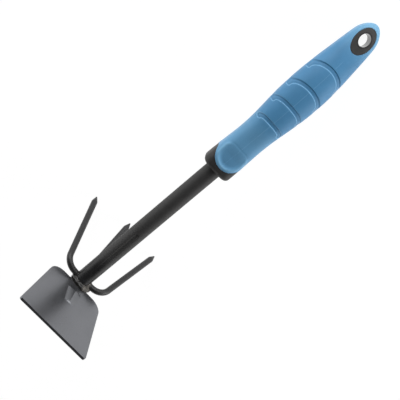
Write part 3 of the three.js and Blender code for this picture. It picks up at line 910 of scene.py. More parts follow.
@dataclass
class Cover:
    """The blue soft cover, with its tongue, thumb pad, grooves and the eyelet's seat.

    Attributes:
        tongue_start, tongue_radius: The front edge's foremost place and radius in plan.
        edge_radius, seat_radius: The rounding of the front edge and of that at the eyelet.
        ridge, ridge_pale: The height of the parting line, and how pale it is.
        flank: The sines of the angles between which the grooves fade out at the sides.
        crowding: How much closer the columns lie at the top and bottom.
        straight: Where the rows no longer follow the front edge.
        junction: Where the rows end and the rays round the eyelet begin.
        fade: How far in front of the junction the relief starts and ends to fade out.
        rear_gap: How far in front of the junction the hollow ends.
        step, fine_step: The distance of rows, plain and where grooves run.
        rounds: How often the front edge is worked out again.
    """

    form: HandleForm
    hole: HangHole
    pad: ThumbPad = field(default_factory=ThumbPad)
    grooves: ArcGrooves = field(default_factory=ArcGrooves)
    wall: float = 2.6
    tongue_start: float = 6.6
    tongue_radius: float = 15.4
    edge_radius: float = 0.7
    seat_radius: float = 0.55
    ridge: float = 0.14
    ridge_width: float = 0.26
    ridge_pale: float = 0.45
    flank: Pair = (0.08, 0.26)
    columns: int = 200
    crowding: float = 0.35
    straight: float = 44.0
    junction: float = 145.0
    fade: Pair = (5.0, 1.0)
    rear_gap: float = 2.0
    step: float = 0.8
    fine_step: float = 0.3
    rounds: int = 40

    def angles(self) -> Array:
        """Angles round the section, closer together at the top and bottom middle lines."""
        share = np.arange(self.columns) / self.columns
        share = share - self.crowding * np.sin(4 * math.pi * share) / (4 * math.pi)
        return math.pi / 2 - 2 * math.pi * share

    def front_line(self, angle: Array) -> Array:
        """Distance along the handle of the cover's front edge at each angle.

        In plan the edge is a circle, so it is solved by repeating: the width across at the
        last distance gives the next distance, and half of each step is taken.
        """
        along = np.full_like(angle, self.tongue_start)
        for _ in range(self.rounds):
            across = self.form.around(along, angle)[..., 1]
            drop = np.sqrt(np.maximum(self.tongue_radius**2 - across**2, 0))
            along = (along + self.tongue_start + self.tongue_radius - drop) / 2
        return along

    def relief(self, along: Array, angle: Array) -> tuple[Array, Array]:
        """How far pad, grooves and parting line lower the skin, and their marks of painted light
        and shade.
        """
        across = self.form.around(along, angle)[..., 1]
        flank = smooth(np.abs(np.sin(angle)), *self.flank)
        depth, tone_and_painted_light = (part * flank for part in self.grooves.depth(along, across))
        top = np.sin(angle) > 0
        pad_depth, pad_painted_light = (np.where(top, part, 0) for part in self.pad.depth(along, across))
        line = hump(across, self.ridge_width)
        # Painted highlight and painted shade of pad and grooves, and the pale parting line.
        return depth + pad_depth - self.ridge * line, tone_and_painted_light + pad_painted_light + self.ridge_pale * line

    def skin_rows(self) -> tuple[Array, Array]:
        """Distances along the handle and edge insets of the outer skin's rows."""
        angle = self.angles()
        edge_x, edge_inset = rounding(self.edge_radius, 6)
        edge = self.front_line(angle) + edge_x
        fore = between(edge[-1], self.straight, column(56)[1:])
        grooved = self.grooves.stations(self.fine_step)
        rear = np.concatenate([
            np.arange(self.straight + self.step, grooved[0] - self.fine_step, self.step), grooved,
            np.linspace(grooved[-1] + 2 * self.fine_step, self.junction, 14)])
        along = np.concatenate([edge, fore, np.repeat(rear[:, None], len(angle), axis=1)])
        insets = np.zeros_like(along)
        insets[:len(edge)] = edge_inset
        return along, insets

    def butt(self) -> list[Array]:
        """The end round the eyelet: rays from the oval seat to the butt's outline.

        In plan each row lies between the oval and the outline, closer together near the
        outline, where the surface turns down.

        Returns:
            The grids of the upper skin, the lower skin and the seat's wall.
        """
        form, seat, angle = self.form, self.hole, self.angles()
        turn = quarter(4000)[::-1, 0]
        outline_x = form.length - (form.length - self.junction) * (1 - np.cos(turn))
        outline_y = form.section(outline_x).width
        heading = np.arctan2(outline_y, outline_x - seat.along)
        back = np.linspace(heading[0], -heading[0], 132)[1:-1]
        back_x = np.interp(np.abs(back), heading[::-1], outline_x[::-1])
        back_y = np.sign(back) * form.section(back_x).width
        shares = (1 - (1 - column(30)) ** 3)[1:]
        side = self.columns // 4
        upper, lower = np.arange(-side, side + 1), np.arange(3 * side, side - 1, -1)
        grids, rays = [], []
        for sign, columns in ((1, upper), (-1, lower)):
            front = form.around(np.full(len(columns), self.junction), angle[columns])
            plan_x = np.concatenate([front[:, 0] - form.start, back_x])
            plan_y = np.concatenate([front[:, 1], back_y])
            ray = np.arctan2(plan_y, plan_x - seat.along)
            grow, inset = rounding(self.seat_radius, 5)
            rim_x, rim_y = seat.oval(seat.ring, seat.play + grow, ray)
            rim = form.over(rim_x, rim_y, sign, inset)
            rows_x, rows_y = between(rim_x[-1], plan_x, shares), between(rim_y[-1], plan_y, shares)
            rows = form.over(rows_x, rows_y, sign)
            rows[-1, :len(columns)] = front
            rows[-1, len(columns):, 2] = form.section(back_x).middle
            grids.append(np.concatenate([rim, rows]))
            rays.append(ray)
        share = column(9)
        turn = (rays[1] - rays[0] + math.pi) % (2 * math.pi) - math.pi
        wall_x, wall_y = seat.oval(seat.ring, seat.play, rays[0] + turn * share)
        height = between(grids[0][0, :, 2], grids[1][0, :, 2], share)
        return [*grids, stacked(form.start + wall_x, wall_y, height)]

    def build(self) -> Object:
        """Makes the outer skin, the front edge, the hollow for the core and the end."""
        form, angle = self.form, self.angles()
        along, inset = self.skin_rows()
        depth, tone_and_painted_light = self.relief(along, angle)
        fade = 1 - smooth(along, *(self.junction - part for part in self.fade))
        outer = form.around(along, angle, inset + depth * fade)
        front = along[0]
        edge = form.around(front, angle, between(self.edge_radius + depth[0], self.wall, column(4)))
        within = between(front, self.junction - self.rear_gap, column(30))
        inner = form.around(within, angle, self.wall)
        return welded("grip_cover_skin", 50, (outer, tone_and_painted_light * fade), edge, inner, capped(inner[-1]),
                      *self.butt())


@dataclass
class Eyelet:
    """The black oval eyelet, flush with the cover above and below, with its leaning hole.

    Attributes:
        outer_radius, inner_radius: The rounding of the outer edges and of the hole's.
        sunk: How far its faces lie below the handle's surface.
        face_shade: The mark of painted shade on all that is neither bore nor lip.
    """

    form: HandleForm
    hole: HangHole
    outer_radius: float = 0.35
    inner_radius: float = 0.55
    sunk: float = 0.12
    face_shade: float = -0.2
    columns: int = 160
    edge_steps: int = 6

    def build(self) -> Object:
        """Makes the ring: a closed profile carried round the oval.

        The profile runs up the outside, over a rounded edge, across the face, over the
        hole's rounded edge and down the bore, and back below. Each point of the bore lies
        between the upper and the lower lip by a share of the height, and each lip is moved
        along by the tangent of the lean times its height above the section's middle.
        """
        form, seat, heading = self.form, self.hole, circle(self.columns)
        rim_in, rim_down = rounding(self.outer_radius, self.edge_steps)
        lip_out, lip_down = rounding(self.inner_radius, self.edge_steps)
        middle = form.section(np.array(seat.along)).middle
        face = column(12)[1:-1]
        sides = []
        for sign in (1, -1):
            rim_x, rim_y = seat.oval(seat.ring, -rim_in, heading)
            rim = form.over(rim_x, rim_y, sign, self.sunk + rim_down)
            lip_x, lip_y = seat.oval(seat.hole, lip_out, heading)
            height = form.over(lip_x, lip_y, sign, self.sunk + lip_down)[..., 2] - middle
            lip_x = lip_x + math.tan(seat.lean) * height
            lip = form.over(lip_x, lip_y, sign, self.sunk + lip_down)
            flat_x = between(rim_x[-1], lip_x[-1], face)
            flat = form.over(flat_x, between(rim_y[-1], lip_y[-1], face), sign, self.sunk)
            sides.append(np.concatenate([rim, flat, lip[::-1]]))
        upper, lower = sides
        share = column(9)[1:-1, :, None]
        bore, outside = between(upper[-1], lower[-1], share), between(lower[0], upper[0], share)
        profile = np.concatenate([upper, bore, lower[::-1], outside, upper[:1]])
        # A little painted shade on the faces.
        mark = np.full(profile.shape[:2], self.face_shade)
        lip_end = len(upper) - self.edge_steps // 2
        mark[lip_end:len(upper) + len(bore) + self.edge_steps // 2] = 1
        # Painted shadow along the hole's lip.
        mark[len(upper) - self.edge_steps - 2:lip_end] = -1
        return welded("hang_eyelet_ring", 50, (profile, mark))


@dataclass
class ShaftForm:
    """The tube's outer shape: round, and pinched flat inside the handle."""

    radius: float = 8.0
    wall: float = 1.5
    end: float = 230.5
    pinch_length: float = 12.0
    pinch_run: float = 14.0
    pinch_width: float = 20.0
    pinch_thickness: float = 4.6

    def pinch_start(self) -> float:
        """Where the tube is no longer round."""
        return self.end - self.pinch_length - self.pinch_run

    def half_sizes(self, x: Array) -> tuple[Array, Array]:
        """Half width and half height of the tube along it, eased from round to pinched."""
        share = (1 - np.cos(math.pi * np.clip((x - self.pinch_start()) / self.pinch_run, 0, 1))) / 2
        wide = between(self.radius, self.pinch_width / 2, share)
        return wide, between(self.radius, self.pinch_thickness / 2, share)


@dataclass
class Core:
    """The black moulded body: the bare collar in front, and the part under the cover.

    Attributes:
        set_back: How far the collar lies below the handle's surface.
        gap: The line of shadow between the body and the cover.
        rear_gap: How far in front of the cover's junction the body ends.
        play, end_play: The gaps round the tube in its bore, and behind it.
    """

    form: HandleForm
    cover: Cover
    shaft: ShaftForm
    set_back: float = 0.28
    gap: float = 0.12
    rear_gap: float = 2.3
    play: float = 0.15
    end_play: float = 0.3

    def build(self) -> Object:
        """Makes the body: rings from the bore's mouth over the collar and in under the cover."""
        form, shaft, angle = self.form, self.shaft, self.cover.angles()
        front = self.cover.front_line(angle) - self.gap
        nose = rounding(form.front_radius, 10)[0] + 0 * front
        collar = between(nose[-1], front, column(15)[1:])
        outer = form.around(np.concatenate([nose, collar]), angle, self.set_back)
        depth = self.cover.wall + self.gap
        seat = form.around(front, angle, between(self.set_back, depth, column(4)))
        within = between(front, self.cover.junction - self.rear_gap, column(46))
        inner = form.around(within, angle, depth)
        pinch, end = shaft.pinch_start(), shaft.end + self.end_play
        x = np.r_[np.linspace(form.start, pinch, 8), np.linspace(pinch + 1, end, 20)][:, None]
        wide, high = shaft.half_sizes(x)
        bore = stacked(x, (wide + self.play) * np.cos(angle), (high + self.play) * np.sin(angle))
        mouth = between(outer[0], bore[0], column(5)[..., None])
        return welded("handle_core_body", 40, outer, seat, inner, capped(inner[-1]), bore,
                      capped(bore[-1]), mouth)


@dataclass
class Tube:
    """The steel shaft tube, with the pressed crease on top.

    Attributes:
        crease_depth, faded_depth: How deep the crease is near the handle and near the blade.
        corner: How wide the rounded corner beside it is.
        fine: Between which stations the rows lie close together.
        painted_lighter: Between which stations painted reflection makes the paint lighter and
            duller.
        line_highlight_at: Where the painted highlight line on top lies, to the left of the middle.
            line_highlight_in, line_highlight_out: From which station to which that line grows from
                none
            to full, at its end towards the blade and at its end towards the handle.
    """

    shaft: ShaftForm
    blade_gap: float = 0.15
    crease_start: float = 14.0
    crease_length: float = 64.0
    crease_radius: float = 4.0
    crease_depth: float = 1.2
    faded_depth: float = 0.4
    corner: float = 0.12
    fine: Pair = (12.0, 80.0)
    painted_lighter: Pair = (20.0, 48.0)
    line_highlight_at: float = 1.2
    line_highlight_width: float = 0.6
    line_highlight_in: Pair = (20.0, 45.0)
    line_highlight_out: Pair = (74.0, 69.0)
    columns: int = 144

    def creased(self, x: Array, y: Array, z: Array) -> Array:
        """The height of the upper side, lowered where the crease is pressed in.

        The crease is the underside of a lying round-ended bar, deeper towards the handle;
        the surface takes the lower of the two heights, with the corner rounded.
        """
        near = self.crease_start + self.crease_radius
        far = self.crease_start + self.crease_length - self.crease_radius
        share = np.clip((x - near) / (far - near), 0, 1)
        depth = between(self.faded_depth, self.crease_depth, share)
        bar = self.crease_radius**2 - y**2 - (x - np.clip(x, near, far)) ** 2
        height = self.shaft.radius + self.crease_radius - depth - np.sqrt(np.maximum(bar, 0))
        pressed = np.minimum(z, soft_least(z, height, self.corner))
        return np.where((z > 0) & (bar > 0), pressed, z)

    def build(self) -> Object:
        """Makes the outer and inner walls and closes both ends."""
        shaft, angle = self.shaft, circle(self.columns)
        near, far, pinch = *self.fine, shaft.pinch_start()
        x = np.concatenate([
            np.linspace(0, near, 10)[:-1], np.arange(near, far, 0.5),
            np.linspace(far, pinch, 40)[:-1], np.linspace(pinch, shaft.end, 20)])[:, None]
        wide, high = shaft.half_sizes(x)
        y, z = wide * np.cos(angle), high * np.sin(angle)
        start = at_blade(z[0], self.blade_gap)
        x = start + x * (shaft.end - start) / shaft.end
        outer = stacked(x, y, self.creased(x, y, z))
        keep = np.r_[0:len(x):6, len(x) - 1]
        inner = outer[keep] - shaft.wall * stacked(0, np.cos(angle), np.sin(angle))
        # A painted highlight line along the crease, and painted reflection away from the blade.
        pale_and_highlight = smooth(x, *self.line_highlight_in) * smooth(x, *self.line_highlight_out) * (z > 0)
        pale_and_highlight = 2 * pale_and_highlight * hump(y - self.line_highlight_at, self.line_highlight_width)
        mark = np.maximum(smooth(x, *self.painted_lighter), pale_and_highlight)
        rims = [np.stack([outer[rim], inner[rim]]) for rim in (0, -1)]
        return welded("shaft_tube_wall", 40, (outer, mark), inner, *rims)


def rod_path(root: Vector, bend: Vector, tip: Vector, radius: float) -> tuple[Array, Array, Array]:
    """The middle line of a rod with one round bend.

    It runs straight from the root to the arc that touches both legs, round the arc by equal
    turns, and straight to the tip.

    Args:
        root: Where the rod begins.
        bend: The corner of its two legs.
        tip: Where it ends.
        radius: The middle line's radius in the bend.

    Returns:
        Points, directions and the fixed sideways direction.
    """
    back, ahead = (root - bend).normalized(), (tip - bend).normalized()
    half = back.angle(ahead) / 2
    centre = bend + (back + ahead).normalized() * (radius / math.sin(half))
    axis = np.array(ahead.cross(back).normalized())
    turn = np.linspace(0, math.pi - 2 * half, 25)[:, None]
    spoke, way = np.array(bend + back * (radius / math.tan(half)) - centre), -np.array(back)
    arc = np.array(centre) + spoke * np.cos(turn) + np.cross(axis, spoke) * np.sin(turn)
    heading = way * np.cos(turn) + np.cross(axis, way) * np.sin(turn)
    steps = 8
    share = column(steps + 1)
    fore, rear = between(np.array(root), arc[0], share), between(arc[-1], np.array(tip), share)
    points = np.concatenate([fore[:-1], arc, rear[1:]])
    legs = [np.tile(end, (steps, 1)) for end in (heading[0], heading[-1])]
    return points, np.concatenate([legs[0], heading, legs[1]]), axis


@dataclass
class Tine:
    """One round rod that leaves the tube sideways or downwards and bends to a drawn point.

    Attributes:
        root_station, root_gap: Where on the tube's middle line its first leg springs, and how
            far from there the rod begins.
        cone: Where the point's rings lie, as shares of its length from the tip.
        shoulder: How much thinner its first ring is than on a plain cone.
        blunt, cap: The radius of the blunt tip, and the length of its rounding.
        middle_station: Where the middle tine's tip lies.
    """

    side: Side
    radius: float = 3.0
    root_station: float = 2.0
    root_gap: float = 6.6
    point_length: float = 6.5
    cone: tuple[float, ...] = (1.25, 1.05, 0.9, 0.75, 0.5, 0.25, 0.12, 0.04)
    shoulder: float = 0.06
    blunt: float = 0.5
    cap: float = 0.26
    outer_bend: Triple = (6.2, 22.7, 3.5)
    outer_tip: Triple = (43.2, 41.85, -68.7)
    outer_radius: float = 12.0
    middle_bend: Triple = (5.6, 0.0, -13.4)
    middle_station: float = 49.5
    middle_radius: float = 8.0
    columns: int = 40

    def corners(self) -> tuple[Vector, Vector, Vector, float]:
        """Root, bend and tip of the rod, and the radius of its bend.

        The middle tip lies as low as the outer ones once the tool lies down.
        """
        root = Vector((self.root_station, 0, 0))
        if self.side is Side.MIDDLE:
            slope = math.tan(FRAME.tilt)
            drop = self.outer_tip[2] + (self.middle_station - self.outer_tip[0]) * slope
            tip = Vector((self.middle_station, 0, drop))
            return root, Vector(self.middle_bend), tip, self.middle_radius
        bend, tip = (Vector(point) * Vector((1, self.side.value, 1))
                     for point in (self.outer_bend, self.outer_tip))
        return root, bend, tip, self.outer_radius

    def build(self) -> Object:
        """Carries a circle along the rod, drawn in to a blunt point at the tip."""
        root, bend, tip, radius = self.corners()
        start = root + (bend - root).normalized() * self.root_gap
        points, headings, axis = rod_path(start, bend, tip, radius)
        end, ahead, shares = points[-1], headings[-1], np.array(self.cone)
        cone = end - ahead * self.point_length * shares[:, None]
        drawn = between(self.radius, self.blunt, 1 - np.minimum(shares, 1))
        drawn[2] -= self.shoulder
        turn = quarter(4)[1:]
        cap = cone[-1] + ahead * self.cap * np.sin(turn)
        closing = np.maximum(drawn[-1] * np.cos(turn[:, 0]), 0)
        sizes = np.concatenate([np.full(len(points) - 1, self.radius), drawn, closing])
        points = np.concatenate([points[:-1], cone, cap])
        headings = np.concatenate([headings[:-1], np.tile(ahead, (len(cone) + len(cap), 1))])
        angle = circle(self.columns)[:, None]
        up = np.cross(headings, axis)[:, None]
        ring = points[:, None] + sizes[:, None, None] * (axis * np.cos(angle) + up * np.sin(angle))
        return welded(f"tine_{self.side.name.lower()}_rod", 40, ring, capped(ring[0]))


@dataclass
class NeckWeld:
    """The bead round the end of the tube, against the blade: two drawn ripples under paint.

    Attributes:
        bite: How far the bead reaches into the tube's surface.
        bare_side: The angle round the tube where the bead is bare and swollen.
        bare, swollen: The cosines of the angles from there between which it becomes so.
        swelling: How much thicker it is there, as a share.
        uneven, ripple_uneven: How uneven the bead and its ripples are, as shares.
        fullness: The power of its rounded profile, fuller below one.
    """

    shaft: ShaftForm
    width: float = 3.4
    thickness: float = 2.3
    blade_gap: float = 0.1
    bite: float = 0.15
    bare_side: float = math.radians(146)
    bare: Pair = (0.72, 0.95)
    swollen: Pair = (0.5, 0.95)
    swelling: float = 1.1
    uneven: float = 0.08
    ripple: float = 0.5
    ripple_uneven: float = 0.4
    fullness: float = 0.9
    columns: int = 240
    seed: int = 5

    def build(self) -> Object:
        """Carries a rounded closed profile with two ripples round the tube, a little uneven.

        The bare weld metal shows on the right side, at the root of the right tine.
        """
        angle, turn = circle(self.columns), quarter(18)
        beside = np.cos(angle - self.bare_side)
        wide = self.width * (1 + lumps(angle, self.seed, (2, 5, 9), self.uneven))
        uneven = lumps(angle, self.seed + 1, (3, 7, 11), self.uneven)
        thick = self.thickness * (1 + self.swelling * smooth(beside, *self.swollen) + uneven)
        bulge = self.ripple * np.sin(2.5 * turn + 0.5) ** 2 * (
            1 + lumps(angle, self.seed + 2, (13, 17), self.ripple_uneven))
        low = np.full((1, self.columns), self.shaft.radius - self.bite)
        reach = low + thick * np.cos(turn) ** self.fullness
        along = wide * np.sin(turn) ** self.fullness
        rows_r = np.concatenate([low, reach + bulge, low])
        rows_x = np.concatenate([0 * low, along + bulge * np.sin(turn), 0.5 * along[-1:]])
        y, z = rows_r * np.cos(angle), rows_r * np.sin(angle)
        rows = stacked(at_blade(z, self.blade_gap) + rows_x, y, z)
        rows = np.concatenate([rows, rows[:1]])
        mark = np.tile(smooth(beside, *self.bare), (len(rows), 1))
        return welded("neck_weld_bead", 60, (rows, mark))


@dataclass
class TineWeld:
    """The bead at a tine's root: a hollow cone spread on the tube, uneven and lumpy.

    Attributes:
        foot, height: How far it spreads round the tine, and how high it stands on the tube.
        root: How far from the tube's middle line it begins.
        bite: How far it reaches into the tine's surface.
        uneven: How uneven its size is, as a share.
        sizes: How big and how bare each bead is: the right one is the largest, and unpainted.
    """

    side: Side
    shaft: ShaftForm
    foot: float = 1.6
    height: float = 2.4
    root: float = 5.2
    tine_radius: float = 3.0
    bite: float = 0.15
    blade_gap: float = 0.2
    uneven: float = 0.3
    ripple: float = 0.1
    columns: int = 120
    seed: int = 20
    sizes: tuple[tuple[Side, Pair], ...] = (
        (Side.LEFT, (0.55, 0.1)), (Side.MIDDLE, (1.0, 0.5)), (Side.RIGHT, (1.2, 1.0)))

    def build(self) -> Object:
        """Carries the bead's hollow profile round the tine's first leg, flat against the blade."""
        root, bend, _, _ = Tine(self.side).corners()
        way = np.array((bend - root).normalized())
        axis = unit(np.cross(way, (0, 1, 0) if self.side is Side.MIDDLE else (0, 0, 1)))
        angle, turn = circle(self.columns), quarter(11)
        size, bare = dict(self.sizes)[self.side]
        swell = size * (1 + lumps(angle, self.seed + self.side.value, (2, 3, 5, 8), self.uneven))
        foot, collar = self.tine_radius + self.foot * swell, self.tine_radius - self.bite
        reach = foot - (foot - collar) * np.sin(turn) ** 1.2
        high = self.shaft.radius + self.height * swell * (1 - np.cos(turn) ** 1.1)
        ripple = self.ripple * np.sin(9 * turn + 3 * np.sin(2 * angle)) * np.sin(2 * turn)
        rows_r = np.concatenate([foot[None], reach + ripple, np.full((1, self.columns), collar)])
        deep = np.full((1, self.columns), self.root)
        rows_h = np.concatenate([deep, high + ripple, deep])
        spoke = axis * np.cos(angle)[:, None] + np.cross(way, axis) * np.sin(angle)[:, None]
        rows = np.array(root) + way * rows_h[..., None] + rows_r[..., None] * spoke
        rows[..., 0] = np.maximum(rows[..., 0], at_blade(rows[..., 2], self.blade_gap))
        rows = np.concatenate([rows, rows[:1]])
        name = f"tine_weld_{self.side.name.lower()}_bead"
        return welded(name, 60, (rows, np.full(rows.shape[:2], bare)))


@dataclass
class Blade:
    """The pressed hoe blade: a trapezoid plate with round shoulders and a V-shaped rib.

    Attributes:
        reach, shoulder_reach, root_reach: How far from the shaft's middle line the cutting
            edge, the shoulders' measured width and their root at the neck lie.
        corners: The radii at the neck's end, its inner corner, the shoulder and the edge.
        rib_root, rib_tip: The rib's width and height where it begins and ends.
        rib_top: How round its ridge is, as a squared distance.
        rib_lead, rib_slope: How far before its start it springs, and how steeply it rises.
        rib_end_run: The length of the ramp that ends it.
        soft, root_soft: How wide its rounded corners are, along it and at its beginning.
        burnt_and_shaded: Between which distances from the shaft's middle line the weld's soot and
            painted shade end.
        far_burnt_and_shaded: The share of the soot and painted shade on the far face.
        pole: Where on the blade the rays of points begin.
        crowding: How much closer the rays lie towards the cutting edge.
    """

    thickness: float = 2.6
    edge_width: float = 76.5
    shoulder_width: float = 60.5
    reach: float = 87.5
    shoulder_reach: float = 16.0
    root_reach: float = 7.4
    corners: tuple[float, ...] = (8.7, 1.5, 13.0, 2.0)
    neck_width: float = 19.4
    neck_bottom: float = 9.0
    rib_start: float = 21.5
    rib_end: float = 42.0
    rib_end_run: float = 1.8
    rib_root: Pair = (15.6, 2.2)
    rib_tip: Pair = (9.8, 1.6)
    rib_top: float = 0.03
    rib_lead: float = 1.6
    rib_slope: float = 2.2
    soft: float = 0.2
    root_soft: float = 0.5
    edge_radius: float = 0.14
    burnt_and_shaded: Pair = (9.5, 14.0)
    far_burnt_and_shaded: float = 0.3
    pole: float = 45.0
    crowding: float = 0.35
    columns: int = 420
    rows: int = 74

    def outline(self) -> Array:
        """The plate's outline with its corners rounded, as points across and along the blade."""
        edge, neck = self.edge_width / 2, self.neck_width / 2
        taper = (self.edge_width - self.shoulder_width) / 2 / (self.reach - self.shoulder_reach)
        shoulder = self.shoulder_width / 2 - (self.shoulder_reach - self.root_reach) * taper
        right = np.array([[neck, -self.neck_bottom], [neck, self.root_reach],
                          [shoulder, self.root_reach], [edge, self.reach]])
        corners = np.concatenate([right, (right * [-1, 1])[::-1]])
        radii = np.array(self.corners + self.corners[::-1])[:, None]
        back, ahead = (unit(np.roll(corners, step, axis=0) - corners) for step in (1, -1))
        half = np.arccos(np.clip((back * ahead).sum(axis=1), -1, 1))[:, None] / 2
        centre = corners + unit(back + ahead) * (radii / np.sin(half))
        spoke = corners + back * (radii / np.tan(half)) - centre
        sign = np.sign(back[:, :1] * ahead[:, 1:] - back[:, 1:] * ahead[:, :1])
        turn = -sign * (math.pi - 2 * half) * np.linspace(0, 1, 40)
        x = spoke[:, :1] * np.cos(turn) - spoke[:, 1:] * np.sin(turn)
        y = spoke[:, :1] * np.sin(turn) + spoke[:, 1:] * np.cos(turn)
        arcs = (centre[:, None] + np.stack([x, y], axis=-1)).reshape(-1, 2)
        dense = between(arcs, np.roll(arcs, -1, axis=0), column(60)[:-1, :, None])
        return dense.transpose(1, 0, 2).reshape(-1, 2)

    def rib(self, across: Array, along: Array) -> Array:
        """How far the plate is pressed towards the handle by the rib.

        Across, the height falls evenly from the middle line to the rib's edge; along, both
        shrink from the root to the tip, where a short ramp ends the rib.
        """
        beyond = along - self.rib_start
        length = self.rib_end - self.rib_start
        wide = between(self.rib_root[0], self.rib_tip[0], beyond / length) / 2
        high = between(self.rib_root[1], self.rib_tip[1], beyond / (length - self.rib_end_run))
        flank = high * (1 - np.sqrt(across**2 + self.rib_top) / np.maximum(wide, 1))
        tip = self.rib_tip[1] * (self.rib_end - along) / self.rib_end_run
        root = (beyond + self.rib_lead) * self.rib_slope
        height = soft_least(soft_least(flank, tip, self.soft), root, self.root_soft)
        return -soft_least(-height, np.zeros_like(height), self.soft)

    def build(self) -> Object:
        """Makes both faces as rays from a middle point to the outline, and the edge between."""
        outline = self.outline()
        around = np.arctan2(outline[:, 0], self.pole - outline[:, 1])
        order = np.argsort(around)
        distance = np.hypot(outline[:, 0], outline[:, 1] - self.pole)
        heading = circle(self.columns) - math.pi
        heading = heading - self.crowding * np.sin(heading)
        reach = np.interp(heading, around[order], distance[order], period=2 * math.pi)
        rim_inset, rim_in = rounding(self.edge_radius, 4)
        inner = (reach - self.edge_radius) * column(self.rows)
        radius = np.concatenate([inner, reach - rim_in[1:]])
        inset = np.zeros_like(radius)
        inset[self.rows:] = rim_inset[1:]
        across, along = radius * np.sin(heading), self.pole - radius * np.cos(heading)
        height = self.rib(across, along)
        near = stacked(height - inset, across, along)
        far = stacked(height - self.thickness + inset, across, along)
        edge = between(near[-1], far[-1], column(4)[..., None])
        # Mark of weld soot and painted shade round the neck.
        burnt_and_shaded = 1 - smooth(np.hypot(across, along), *self.burnt_and_shaded)
        cosine, sine = math.cos(BLADE_LEAN), math.sin(BLADE_LEAN)
        turn = np.array([[cosine, 0, sine], [0, 1, 0], [-sine, 0, cosine]])
        return welded("hoe_blade_plate", 30, (near @ turn, burnt_and_shaded),
                      (far @ turn, self.far_burnt_and_shaded * burnt_and_shaded), edge @ turn)


@dataclass
class Handle:
    """The handle: core, cover and eyelet."""

    form: HandleForm = field(default_factory=HandleForm)
    hole: HangHole = field(default_factory=HangHole)
    shaft: ShaftForm = field(default_factory=ShaftForm)

    def build(self, finishes: dict[str, Material]) -> None:
        """Makes and dresses the pieces, each in place of its CAD node."""
        cover = Cover(self.form, self.hole)
        dress(cover.build(), "grip_cover", "cover_rubber", finishes)
        dress(Core(self.form, cover, self.shaft).build(), "handle_core", "core_plastic", finishes)
        dress(Eyelet(self.form, self.hole).build(), "hang_eyelet", "core_plastic", finishes)


@dataclass
class Head:
    """The steel head: tube, blade, tines and the welds between them."""

    shaft: ShaftForm = field(default_factory=ShaftForm)

    def build(self, finishes: dict[str, Material], tang: Object) -> None:
        """Makes and dresses the pieces, each in place of its CAD node.

        Args:
            finishes: The materials by the record's slots.
            tang: The CAD model's tang, which stays and only gets its finish.
        """
        dress(Tube(self.shaft).build(), "shaft_tube", "black_steel", finishes)
        dress(Blade().build(), "hoe_blade", "blade_steel", finishes)
        dress(NeckWeld(self.shaft).build(), "neck_weld", "weld_bead", finishes)
        for side in Side:
            word = side.name.lower()
            dress(Tine(side).build(), f"tine_{word}", "black_steel", finishes)
            dress(TineWeld(side, self.shaft).build(), f"tine_weld_{word}", "weld_bead", finishes)
        for slot in tang.material_slots:
            slot.material = finishes["black_steel"]


def dress(piece: Object, node: str, slot: str, finishes: dict[str, Material]) -> None:
    """Gives a piece its finish, and puts it in place of its CAD node on the one rigid body.

    Args:
        piece: The new piece.
        node: The CAD node that it stands for.
        slot: The record's material slot of its finish.
        finishes: The materials by slot.
    """
    piece.data.materials.append(finishes[slot])
    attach(piece, "root")
    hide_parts(node)
    low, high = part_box(node)
    points = np.array([vertex.co for vertex in piece.data.vertices])
    off = np.concatenate([points.min(axis=0) - np.array(low), points.max(axis=0) - np.array(high)])
    LOG.info("%s for %s, box off by %s mm", piece.name, node, np.round(off / METRES, 2).tolist())


